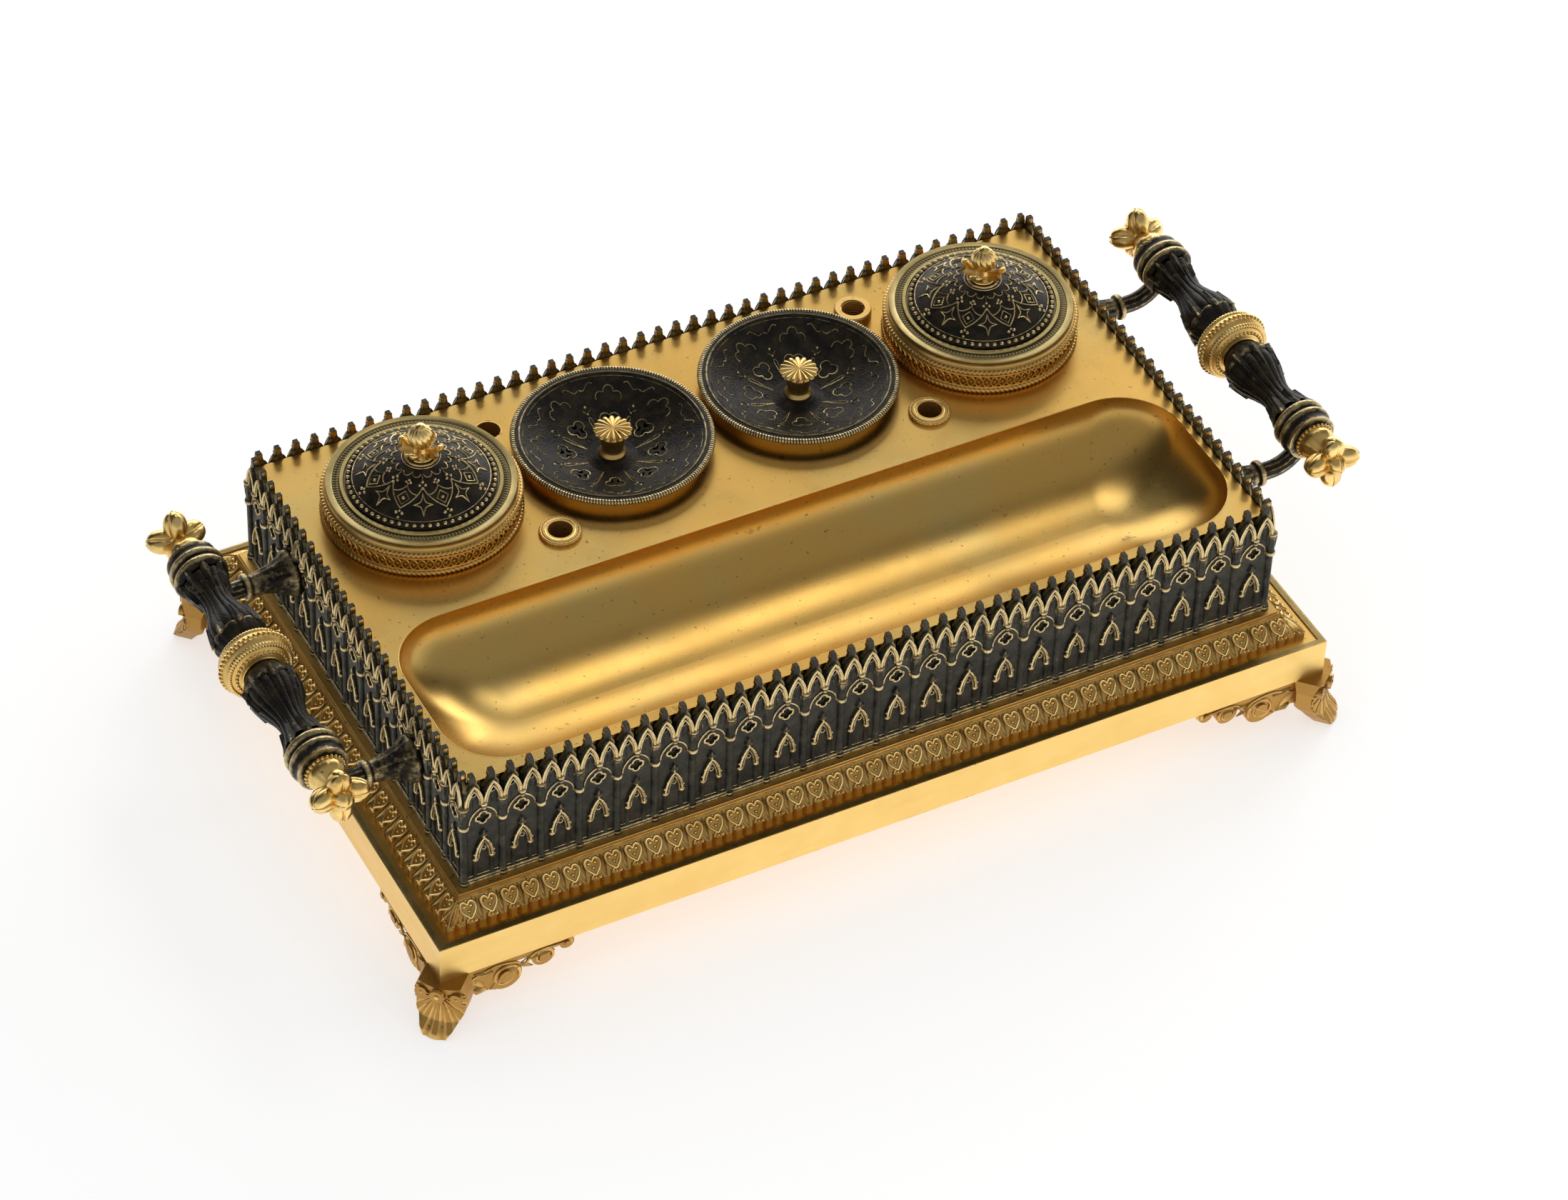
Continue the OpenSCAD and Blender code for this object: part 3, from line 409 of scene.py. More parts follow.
    def rope(self, radius: float, height: float, wire: float, twists: int, slant: float, depth: float,
             sides: int = 8, wear: float = 1.0) -> None:
        """Adds a twisted rope that runs round the Z axis.

        Args:
            radius: The distance of its middle from the axis.
            height: The height of its middle.
            wire: Its own radius.
            twists: How many strands show round the ring.
            slant: How many strands a turn round the rope passes.
            depth: The depth of the grooves, as a share of its radius.
            sides: How many points it has round its own middle.
            wear: The wear of the strands.
        """
        steps = 5 * twists
        turn = TAU * np.arange(steps)[:, None] / steps
        own = TAU * np.arange(sides)[None, :] / sides
        strand = ripple(1, 0.7)(twists * turn + slant * own)
        size = wire * (1 - depth + 2 * depth * strand)
        points = polar(radius + size * np.cos(own), turn, height + size * np.sin(own))
        self.add(points, grid_faces(steps, sides, True, True)[:, ::-1], wear=wear * strand)

    def build(self, name: str, finish: "Finish", place: Array = HERE, body: str = STAND,
              replaces: Solids = ()) -> None:
        """Makes the mesh object and hangs it on its body.

        Args:
            name: The piece's name.
            finish: What it is finished in.
            place: The 4x4 matrix that carries it to its place.
            body: The body that carries it.
            replaces: The solids that it stands for.
        """
        whole = Casting()
        whole.copies(self, [place])
        points, quads, tris, wear = whole.arrays()
        mesh = bpy.data.meshes.new(name)
        mesh.vertices.add(len(points))
        mesh.vertices.foreach_set("co", (points * MM).astype(np.float32).ravel())
        loops = np.concatenate([quads.ravel(), tris.ravel()]).astype(np.int32)
        mesh.loops.add(len(loops))
        mesh.loops.foreach_set("vertex_index", loops)
        sizes = np.repeat([4, 3], [len(quads), len(tris)]).astype(np.int32)
        mesh.polygons.add(len(sizes))
        mesh.polygons.foreach_set("loop_start", (np.cumsum(sizes) - sizes).astype(np.int32))
        mesh.polygons.foreach_set("loop_total", sizes)
        worn = mesh.attributes.new(WEAR, "FLOAT", "POINT")
        worn.data.foreach_set("value", wear.astype(np.float32))
        mesh.update(calc_edges=True)
        mesh.validate()
        mesh.shade_smooth()
        mesh.set_sharp_from_angle(angle=math.radians(SHARP_FROM))
        mesh.materials.append(Foundry.material(finish))
        made = bpy.data.objects.new(name, mesh)
        bpy.context.scene.collection.objects.link(made)
        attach(made, body)
        if replaces:
            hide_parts(*replaces)
        LOG.info("%s: %d points", name, len(points))


# ---------------------------------------------------------------- finishes


class Finish(Enum):
    """The finishes of the stand, each with the record's slot that it belongs to."""

    GILT = "gilt_bronze"
    SATIN = "satin_brass"
    DARK = "dark_bronze"
    STEEL = "steel"
    GLASS = "glass"
    GILT_BAND = "gilt_band"
    # The feet's darker gilding: painted shade.
    GILT_FOOT_SHADED = "gilt_foot_shaded"
    DRUM = "drum_brass"
    PATINA = "patina_and_sheen_bronze"

    @property
    def slot(self) -> str:
        """The material slot of the record."""
        return {"gilt_band": "gilt_bronze", "gilt_foot_shaded": "gilt_bronze", "drum_brass": "satin_brass",
                "patina_and_sheen_bronze": "dark_bronze"}.get(self.value, self.value)


class Graph:
    """Makes the nodes of one shader."""

    def __init__(self, tree: bpy.types.NodeTree, space: str = "Object") -> None:
        """Keeps the tree and the coordinates that its patterns follow."""
        self.tree = tree
        self.place = self.new("TexCoord").outputs[space]

    def new(self, kind: str, **values: object) -> bpy.types.Node:
        """Adds a node, with its plain properties set."""
        node = self.tree.nodes.new("ShaderNode" + kind)
        for key, value in values.items():
            setattr(node, key, value)
        return node

    def put(self, node: bpy.types.Node, values: dict[str | int, object]) -> bpy.types.Node:
        """Links outputs to a node's sockets, or sets the sockets' own values."""
        for key, value in values.items():
            if isinstance(value, bpy.types.NodeSocket):
                self.tree.links.new(value, node.inputs[key])
            else:
                node.inputs[key].default_value = value
        return node

    def noise(self, scale: float, detail: float = 3.0, rough: float = 0.5, at: object = None) -> object:
        """A cloudy pattern, its scale in patches per metre."""
        node = self.put(self.new("TexNoise"), {"Vector": self.place if at is None else at, "Scale": scale,
                                               "Detail": detail, "Roughness": rough})
        return node.outputs["Fac"]

    def stretched(self, scale: Sequence[float]) -> object:
        """The place, squeezed by a share along each axis."""
        return self.put(self.new("Mapping"), {"Vector": self.place, "Scale": scale}).outputs["Vector"]

    def span(self, value: object, low: float, high: float, to_low: float = 0.0, to_high: float = 1.0,
             shape: str = "LINEAR") -> object:
        """A value carried from one span to another, and held there."""
        node = self.new("MapRange", clamp=True, interpolation_type=shape)
        return self.put(node, {"Value": value, "From Min": low, "From Max": high,
                               "To Min": to_low, "To Max": to_high}).outputs["Result"]

    def math(self, operation: str, a: object, b: object = 0.0) -> object:
        """A sum on two values."""
        return self.put(self.new("Math", operation=operation), {0: a, 1: b}).outputs[0]

    def blend(self, share: object, a: object, b: object) -> object:
        """One number that turns into another."""
        return self.put(self.new("Mix", data_type="FLOAT"), {0: share, 2: a, 3: b}).outputs[0]

    def mix(self, share: object, a: object, b: object) -> object:
        """One colour that turns into another."""
        return self.put(self.new("Mix", data_type="RGBA"), {0: share, 6: a, 7: b}).outputs[2]

    def bump(self, height: object, strength: float, distance: float) -> object:
        """A bump from a height, its distance in millimetres."""
        return self.put(self.new("Bump"), {"Strength": strength, "Distance": distance * MM,
                                           "Height": height}).outputs["Normal"]

    def wear(self) -> object:
        """The wear stored on the mesh."""
        return self.new("Attribute", attribute_name=WEAR).outputs["Fac"]

    def parts(self, vector: object) -> bpy.types.NodeOutputs:
        """The X, Y and Z of a vector."""
        return self.put(self.new("SeparateXYZ"), {0: vector}).outputs

    def facing(self, name: str) -> object:
        """One coordinate of the surface's direction."""
        return self.parts(self.new("NewGeometry").outputs["Normal"])[name]

    def mirrored(self) -> object:
        """One for the rays that see the background in metal or glass."""
        path = self.new("LightPath").outputs
        return self.math("MAXIMUM", path["Is Glossy Ray"], path["Is Transmission Ray"])

    def straight(self) -> object:
        """One for the rays from the camera."""
        return self.new("LightPath").outputs["Is Camera Ray"]


class Paint(Graph):
    """Makes the nodes of one material, which ends in a surface shader."""

    def __init__(self, name: str) -> None:
        """Starts a material with its surface shader."""
        self.material = bpy.data.materials.new(name)
        self.material.use_nodes = True
        super().__init__(self.material.node_tree)

    def surface(self, colour: object, rough: object, metal: object = 1.0, **more: object) -> Material:
        """Sets the surface shader.

        Args:
            colour: The base colour.
            rough: The roughness.
            metal: How metallic it is.
            more: Other sockets, such as normal or ior.

        Returns:
            The material.
        """
        sockets = {"Base Color": colour, "Roughness": rough, "Metallic": metal}
        named = {"normal": "Normal", "specular": "Specular IOR Level", "ior": "IOR",
                 "transmission": "Transmission Weight", "light": "Emission Color",
                 "glow": "Emission Strength"}
        self.put(self.tree.nodes["Principled BSDF"], sockets | {named[key]: more[key] for key in more})
        return self.material


def rgb(red: float, green: float, blue: float) -> Colour:
    """An opaque colour."""
    return (red, green, blue, 1.0)


@dataclass(frozen=True)
class Gilding:
    """Mercury gilding on chased bronze: burnished high points and matt hollows."""

    bright: Colour = rgb(0.98, 0.72, 0.29)
    deep: Colour = rgb(0.74, 0.47, 0.14)
    soot: Colour = rgb(0.20, 0.10, 0.02)

    def make(self, name: str) -> Material:
        """Makes the finish."""
        g = Paint(name)
        cloud, worn = g.noise(90, 4, 0.6), g.wear()
        colour = g.mix(g.span(cloud, 0.38, 0.66), self.bright, self.deep)
        raised = g.span(g.math("ADD", worn, g.math("MULTIPLY", cloud, 0.5)), 0.15, 0.75)
        spots = g.span(g.noise(520, 2, 0.5), 0.66, 0.74)
        colour = g.mix(g.math("MULTIPLY", spots, 0.7), g.mix(raised, self.deep, colour), self.soot)
        return g.surface(colour, g.span(worn, 0.0, 1.0, 0.46, 0.26),
                         normal=g.bump(g.noise(1500, 3, 0.6), 0.25, 0.12))


@dataclass(frozen=True)
class BandGilding:
    """The plain gilding of the plinth, with its dull ledge."""

    band: Colour = rgb(0.90, 0.63, 0.22)
    deep: Colour = rgb(0.84, 0.55, 0.17)
    ledge: Colour = rgb(0.30, 0.23, 0.09)
    ledge_mottle: Colour = rgb(0.38, 0.28, 0.11)

    def make(self, name: str) -> Material:
        """Makes the finish."""
        g = Paint(name)
        grain = g.noise(420, 2, 0.5, g.stretched((0.08, 0.08, 1.0)))
        plain = g.mix(g.span(g.noise(60, 5, 0.6), 0.35, 0.7, 0.0, 0.75), self.band, self.deep)
        # Faces that look up are coloured in two dull, mottled colours.
        dull = g.mix(g.span(g.noise(300, 3, 0.6), 0.4, 0.6), self.ledge, self.ledge_mottle)
        return g.surface(g.mix(g.span(g.facing("Z"), 0.6, 0.9), plain, dull),
                         g.span(grain, 0.3, 0.7, 0.36, 0.46), normal=g.bump(grain, 0.05, 0.12))


@dataclass(frozen=True)
class SatinBrass:
    """Lacquered satin brass, clouded and flecked with small dark spots."""

    warm: Colour = rgb(0.78, 0.47, 0.12)
    cool: Colour = rgb(0.68, 0.49, 0.17)
    spot: Colour = rgb(0.10, 0.065, 0.02)

    def make(self, name: str) -> Material:
        """Makes the finish."""
        g = Paint(name)
        colour = g.mix(g.span(g.noise(14, 4, 0.55), 0.455, 0.705), self.warm, self.cool)
        small = g.math("MULTIPLY", g.span(g.noise(700, 2, 0.4), 0.70, 0.76), 0.6)
        large = g.math("MULTIPLY", g.span(g.noise(120, 3, 0.6), 0.70, 0.78), 0.65)
        brushed = g.noise(900, 3, 0.5, g.stretched((0.05, 1.0, 1.0)))
        rough = g.span(g.noise(40, 4, 0.6), 0.3, 0.7, 0.25, 0.31)
        return g.surface(g.mix(g.math("MAXIMUM", small, large), colour, self.spot), rough,
                         normal=g.bump(brushed, 0.10, 0.03))


@dataclass(frozen=True)
class DrumBrass:
    """The lids' brass: olive on top, and warm on the band."""

    olive: Colour = rgb(0.37, 0.29, 0.12)
    straw: Colour = rgb(0.47, 0.36, 0.15)
    warm: Colour = rgb(0.80, 0.47, 0.13)
    tan: Colour = rgb(0.66, 0.38, 0.10)
    ground: Colour = rgb(0.045, 0.036, 0.02)

    def make(self, name: str) -> Material:
        """Makes the finish."""
        g = Paint(name)
        worn = g.wear()
        olive_mix = g.mix(g.span(g.noise(160, 3, 0.6), 0.4, 0.65), self.olive, self.straw)
        bright = g.mix(g.span(g.noise(120, 3, 0.6), 0.4, 0.65), self.warm, self.tan)
        # Low wear, as on the top, runs from near black to olive; high wear, as on the band, is warm.
        dark = g.mix(g.span(worn, 0.0, 0.25), self.ground, olive_mix)
        return g.surface(g.mix(g.span(worn, 0.5, 0.8), dark, bright), 0.34,
                         normal=g.bump(g.noise(1500, 2, 0.5), 0.15, 0.06))


@dataclass(frozen=True)
class DarkBronze:
    """Nearly black bronze, rubbed to brass where it stands out."""

    ground: Colour = rgb(0.010, 0.009, 0.007)
    brown: Colour = rgb(0.040, 0.028, 0.014)
    brass: Colour = rgb(0.78, 0.61, 0.31)

    def base(self, g: Paint, cloud: object) -> object:
        """The colour of what isn't rubbed."""
        return g.mix(g.span(cloud, 0.4, 0.7), self.ground, self.brown)

    def make(self, name: str) -> Material:
        """Makes the finish."""
        g = Paint(name)
        patches = g.math("MULTIPLY", g.math("SUBTRACT", g.noise(400, 3, 0.6), 0.5), 0.9)
        share = g.span(g.math("ADD", g.wear(), patches), 0.5, 1.05, 0.0, 0.9)
        return g.surface(g.mix(share, self.base(g, g.noise(220, 4, 0.6)), self.brass),
                         g.span(share, 0.0, 0.6, 0.40, 0.32), g.span(share, 0.0, 0.5, 0.2, 1.0), specular=0.2,
                         normal=g.bump(g.noise(1700, 1, 0.5), 0.8, 0.22))


@dataclass(frozen=True)
class SheenedBronze(DarkBronze):
    """The gallery's bronze, with a painted grey-green sheen on its faces that look left."""

    ground: Colour = rgb(0.035, 0.033, 0.026)
    brown: Colour = rgb(0.085, 0.075, 0.052)
    # A painted grey-green sheen for the faces that look left.
    left_sheen: Colour = rgb(0.15, 0.16, 0.135)

    def base(self, g: Paint, cloud: object) -> object:
        """The colour of what isn't rubbed, with the painted sheen on faces that look left."""
        # Painted sheen: faces that look left turn grey-green in cloudy patches.
        painted_sheen = g.math("MULTIPLY", g.span(g.facing("X"), -0.5, -0.95), g.span(cloud, 0.4, 0.65, 0.0, 0.7))
        return g.mix(painted_sheen, super().base(g, cloud), self.left_sheen)


@dataclass(frozen=True)
class Steel:
    """The steel of screws, nuts and rods."""

    dark: Colour = rgb(0.42, 0.41, 0.39)
    pale: Colour = rgb(0.55, 0.54, 0.52)

    def make(self, name: str) -> Material:
        """Makes the finish."""
        g = Paint(name)
        return g.surface(g.mix(g.noise(500, 3, 0.6), self.dark, self.pale), 0.35,
                         normal=g.bump(g.noise(1200, 2, 0.5), 0.1, 0.05))


@dataclass(frozen=True)
class Glass:
    """The thick glass of the ink pots."""

    tint: Colour = rgb(0.86, 0.92, 0.89)

    def make(self, name: str) -> Material:
        """Makes the finish."""
        g = Paint(name)
        return g.surface(self.tint, 0.05, 0.0, ior=1.5, transmission=0.9,
                         normal=g.bump(g.noise(150, 2, 0.5), 0.1, 0.1))


class Foundry:
    """Makes each finish once."""

    recipes = {Finish.GILT: Gilding(), Finish.GILT_BAND: BandGilding(), Finish.SATIN: SatinBrass(),
               # The feet get darker gilding colours, as painted shade for the shadowed floor beneath them.
               Finish.GILT_FOOT_SHADED: Gilding(rgb(0.78, 0.50, 0.17), rgb(0.42, 0.23, 0.055)),
               Finish.DRUM: DrumBrass(), Finish.DARK: DarkBronze(), Finish.PATINA: SheenedBronze(),
               Finish.STEEL: Steel(), Finish.GLASS: Glass()}
    made: dict[Finish, Material] = {}

    @classmethod
    def material(cls, finish: Finish) -> Material:
        """The material of a finish."""
        if finish not in cls.made:
            cls.made[finish] = cls.recipes[finish].make(finish.value)
        return cls.made[finish]


# ---------------------------------------------------------------- places


def corners_of(node: str) -> tuple[Array, Array]:
    """The lowest and highest corner of a solid, in millimetres."""
    low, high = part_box(node)
    return np.array(low) / MM, np.array(high) / MM


@dataclass(frozen=True)
class Layout:
    """Heights and half sizes that the dressing is hung on, in millimetres.

    Attributes:
        plinth_half: Half the plinth's length and width.
        seat_top: The height that the gallery stands on.
        plate_top: The height of the top plate's face.
        bar_x: How far a handle's bar lies from the middle.
        bar_z: The height of a handle's bar.
    """

    plinth_half: tuple[float, float]
    seat_top: float
    plate_top: float
    bar_x: float
    bar_z: float

    @classmethod
    def read(cls) -> "Layout":
        """Reads the places from the frame."""
        plinth, rod = corners_of("plinth_band")[1], np.mean(corners_of("handle_rod_right"), 0)
        return cls((plinth[0], plinth[1]), corners_of("gallery_front")[0][2], corners_of("top_plate")[1][2],
                   rod[0], rod[2])


class Side(Enum):
    """The four sides of the stand, each with its turn about Z in quarter turns."""

    FRONT = 0
    RIGHT = 1
    BACK = 2
    LEFT = 3

    @property
    def is_long(self) -> bool:
        """Whether it is the front or the back."""
        return self.value % 2 == 0

    def reach(self, corners: tuple[Array, Array], outer: bool) -> float:
        """How far the outer or the inner face of a solid on this side lies from the middle."""
        axis = 1 if self.is_long else 0
        return (max if outer else min)(abs(corners[0][axis]), abs(corners[1][axis]))

    def place(self, out: float, height: float) -> Array:
        """Carries a wall drawn along X, facing -Y, out to its side.

        Args:
            out: How far the wall lies from the middle.
            height: The height of its foot.

        Returns:
            A 4x4 matrix.
        """
        turn = about_z(self.value * math.pi / 2)
        return placed(turn, turn @ [0, -out, height])


class Drawing:
    """Carries flat drawings onto a surface of the stand."""

    def __init__(self, point: Surface, normal: Surface) -> None:
        """Keeps the surface.

        Args:
            point: Gives the place of a pair of flat coordinates, in millimetres.
            normal: Gives the surface's direction there.
        """
        self.point = point
        self.normal = normal

    def lifted(self, flat: Points, lift: Numbers = 0.0) -> Array:
        """The places of flat points, lifted off the surface."""
        u, v = np.moveaxis(np.asarray(flat, float), -1, 0)
        return self.point(u, v) + self.normal(u, v) * np.asarray(lift, float)[..., None]

    def wire(self, cast: Casting, flat: Points, radius: Numbers, lift: float = 0.0, sides: int = 6,
             closed: bool = False, squash: float = 1.0, wear: Numbers = 1.0) -> None:
        """Lays a round moulding on the surface.

        Args:
            cast: The piece that gains it.
            flat: The path that it follows, in flat coordinates.
            radius: Its radius, or one radius for each point.
            lift: How far its middle lies off the surface.
            sides: How many sides it has.
            closed: Whether its end joins its start.
            squash: Its height as a share of its width.
            wear: Its wear, or one value for each point.
        """
        flat = np.asarray(flat, float)
        cast.tube(self.lifted(flat, lift), radius, self.normal(flat[:, 0], flat[:, 1]), sides, closed,
                  squash, wear)

    def stud(self, cast: Casting, at: Sequence[float], radii: Numbers, lift: float = 0.0, wear: float = 1.0,
             rings: int = 4, turns: int = 8) -> None:
        """Sets a bead on the surface.

        Args:
            cast: The piece that gains the bead.
            at: Its place, in flat coordinates.
            radii: Its radius, or one radius for each axis.
            lift: How far its middle lies off the surface.
            wear: Its wear.
            rings: How many rings of faces it has.
            turns: How many points it has round its axis.
        """
        flat = np.asarray(at, float)
        up = self.normal(flat[0], flat[1])
        step = self.lifted(flat + [0, 0.01]) - self.lifted(flat)
        cast.beads([placed(turned_to(up, step), self.lifted(flat, lift))], radii, rings, turns, wear)

    def leaf(self, cast: Casting, root: Sequence[float], tip: Sequence[float], width: float, ridge: float,
             low: float = 0.0, steps: int = 7, wear: float = 1.0) -> None:
        """Lays a leaf with a raised middle on the surface.

        Args:
            cast: The piece that gains the leaf.
            root: Where it starts, in flat coordinates.
            tip: Where its point is.
            width: Its width at its widest.
            ridge: The height of its middle.
            low: The height of its edges.
            steps: How many steps it has along its length.
            wear: The wear of its middle.
        """
        root, along = np.asarray(root, float), np.subtract(tip, root)
        aside = unit(np.array([-along[1], along[0]]))
        t = np.linspace(0, 1, steps)[:, None]
        half = 0.5 * width * np.sin(np.pi * t ** 0.85) * np.array([-1.0, -0.55, 0.0, 0.55, 1.0])
        flat = (root + along * t)[:, None] + half[..., None] * aside
        shape = np.array([0.0, 0.45, 1.0, 0.45, 0.0])
        lift = low + (ridge - low) * shape * np.sin(np.pi * np.clip(t, 0.04, 0.96)) ** 0.5
        cast.sheet(self.lifted(flat, lift), wear * shape)


def wall_drawing(depth: float) -> Drawing:
    """A drawing on an upright wall that faces -Y, at a depth in front of its inner face."""
    return Drawing(lambda u, v: np.stack([u, np.full_like(u, -depth), v], -1),
                   lambda u, v: np.broadcast_to(np.array([0, -1.0, 0]), np.shape(u) + (3,)))


def turned_points(flat: Points, angle: float, out: float = 0.0) -> Array:
    """Flat points drawn outwards along +Y, moved out and turned to a direction."""
    return (np.asarray(flat, float) + [0, out]) @ about_z(angle - math.pi / 2)[:2, :2].T


class RoundDrawing(Drawing):
    """A drawing on a turned surface seen from above, which repeats round its axis."""

    def __init__(self, height: Swell) -> None:
        """Keeps the surface, from the height of each radius."""
        def normal(u: Array, v: Array) -> Array:
            """The direction of the surface."""
            r = np.maximum(np.hypot(u, v), 1e-6)
            rise = (height(r + 0.05) - height(r - 0.05)) / 0.1
            return unit(np.stack([-rise * u / r, -rise * v / r, np.ones_like(r)], -1))

        super().__init__(lambda u, v: np.stack([u, v, height(np.hypot(u, v))], -1), normal)

    def line(self, cast: Casting, flat: Points, angle: float, radius: float, lift: float, wear: float = 1.0,
             closed: bool = False, out: float = 0.0) -> None:
        """Lays a line that is drawn outwards along +Y.

        Args:
            cast: The piece that gains it.
            flat: The line.
            angle: The direction that it is turned to.
            radius: Its radius.
            lift: How far its middle lies off the surface.
            wear: Its wear.
            closed: Whether its end joins its start.
            out: How far it is moved outwards first.
        """
        self.wire(cast, turned_points(flat, angle, out), radius, lift, 5, closed, wear=wear)

    def dots(self, cast: Casting, spots: Points, angle: float, lift: float = 0.05) -> None:
        """Sets beads, each given by its X and Y, its size and its height, turned to an angle."""
        for x, y, size, height in spots:
            self.stud(cast, turned_points((x, y), angle), (size, size, height), lift)


# ---------------------------------------------------------------- the plinth and its border


@dataclass
class Frieze:
    """The sloping border of hearts and leaves round the foot of the gallery.

    Attributes:
        width: How far the slope reaches inwards.
        tip: The height of the leaf tips.
        rise: How far the slope rises.
        hearts: How many hearts a long and a short side have.
        corner: The room that is left at each end of a side.
        heart: Half the outline of a heart.
        curl: The leaf that curls at a heart's foot.
    """

    width: float = 6.6
    tip: float = 1.8
    rise: float = 5.4
    hearts: tuple[int, int] = (42, 25)
    corner: float = 3.2
    heart: tuple[tuple[float, float], ...] = (
        (0, 1.75), (0.9, 2.55), (1.95, 3.7), (2.6, 5.05), (2.55, 6.4), (1.75, 7.25), (0.75, 7.1), (0, 6.2))
    curl: tuple[tuple[float, float], ...] = (
        (0.15, 1.9), (0.8, 1.75), (1.5, 1.25), (1.55, 0.6), (1.05, 0.45), (0.95, 0.95))

    def surface(self) -> Drawing:
        """The slope, drawn with u along the wall and v up from the leaf tips."""
        c, s = np.array([self.width, self.rise]) / math.hypot(self.width, self.rise)
        return Drawing(lambda u, v: np.stack([u, v * c, self.tip + v * s], -1),
                       lambda u, v: np.broadcast_to(np.array([0, -s, c]), np.shape(u) + (3,)))

    def motif(self, tooth: float) -> Casting:
        """One heart with its beads and buds, and half of the leaves beside it."""
        cast, on = Casting(), self.surface()
        on.wire(cast, smooth(both(self.heart), 3, True), 0.36, 0.55, 6, True, 0.9)
        for at, size in (((1.15, 5.75), 0.62), ((-1.15, 5.75), 0.62), ((0, 4.05), 0.52)):
            on.stud(cast, at, size, 0.3)
        for s in (-1, 1):
            curl = smooth(np.array(self.curl) * [s, 1], 2)
            on.wire(cast, curl, np.linspace(0.22, 0.36, len(curl)), 0.35, 5)
            on.leaf(cast, (s * tooth, 7.9), (s * tooth, -0.1), 1.9, 0.75, 0.05, 8, 0.9)
            on.wire(cast, [(s * tooth, 7.6), (s * tooth, 4.0), (s * tooth, 0.4)], 0.17, 0.78, 4)
            on.leaf(cast, (s * 0.55 * tooth, 7.9), (s * 0.98 * tooth, 5.2), 0.8, 0.5, 0.0, 5, 0.7)
        on.leaf(cast, (0, 1.9), (0, -0.25), 1.25, 0.85, 0.1, 6)
        on.stud(cast, (0, 7.6), (0.45, 0.45, 0.4), 0.25)
        return cast

    def palmette(self, half: float) -> Casting:
        """The leaves on the mitre at the right end of a side."""
        cast, on = Casting(), self.surface()
        top = half - self.width * 0.98
        on.leaf(cast, (top, 8.4), (half + 0.1, 0.1), 1.9, 1.3, 0.3, 9)
        for k, width in enumerate((1.5, 1.35, 1.2)):
            x = half - 1.9 - 1.75 * k
            on.leaf(cast, (top - 0.4 * k, 8.2 - 0.9 * k), (x, 0.3 + 0.25 * k), width, 0.8, 0.05, 7, 0.9)
            on.stud(cast, (x - 0.15, 0.9 + 0.2 * k), 0.42, 0.35)
        return cast

    def build(self) -> None:
        """Lays the border on the four sides."""
        for side in Side:
            box = corners_of(f"frieze_{side.name.lower()}")
            half, count = (box[1][0], self.hearts[0]) if side.is_long else (box[1][1], self.hearts[1])
            free = half - self.corner
            tooth = 2 * free / (2 * count + 1)
            run = Casting()
            run.copies(self.motif(tooth), [moved((2 * i + 1.5) * tooth - free) for i in range(count)])
            run.copies(self.palmette(half), [HERE, MIRROR_X])
            run.build(f"frieze_leaves_{side.name.lower()}", Finish.GILT,
                      side.place(side.reach(box, True), box[0][2]))


@dataclass
class Plinth:
    """The bright edges of the flat gilt band and of the moulding above the border.

    Attributes:
        layout: The shared places.
        edge: The radius of the band's edges.
        seat_edge: The radius of the moulding's edges.
    """

    layout: Layout
    edge: float = 0.32
    seat_edge: float = 0.3

    def build(self) -> None:
        """Rounds the edges."""
        cast = Casting()
        low, high = corners_of("plinth_band")
        seat, top = corners_of("gallery_seat")[1], self.layout.seat_top
        corner = high - self.edge * 0.9
        for hx, hy, z, r in ((corner[0], corner[1], high[2] - 0.28, self.edge),
                             (corner[0], corner[1], low[2] + 0.3, self.edge),
                             (seat[0] - 0.75, seat[1] - 0.75, top - 0.28, self.seat_edge),
                             (seat[0] - 0.25, seat[1] - 0.25, top - 1.1, self.seat_edge)):
            spots = ((-1, -1), (0, -1), (1, -1), (1, 0), (1, 1), (0, 1), (-1, 1), (-1, 0))
            cast.tube([(x * hx, y * hy, z) for x, y in spots], r, UP, 8, True)
        cast.build("plinth_edges", Finish.GILT)


# ---------------------------------------------------------------- the gallery


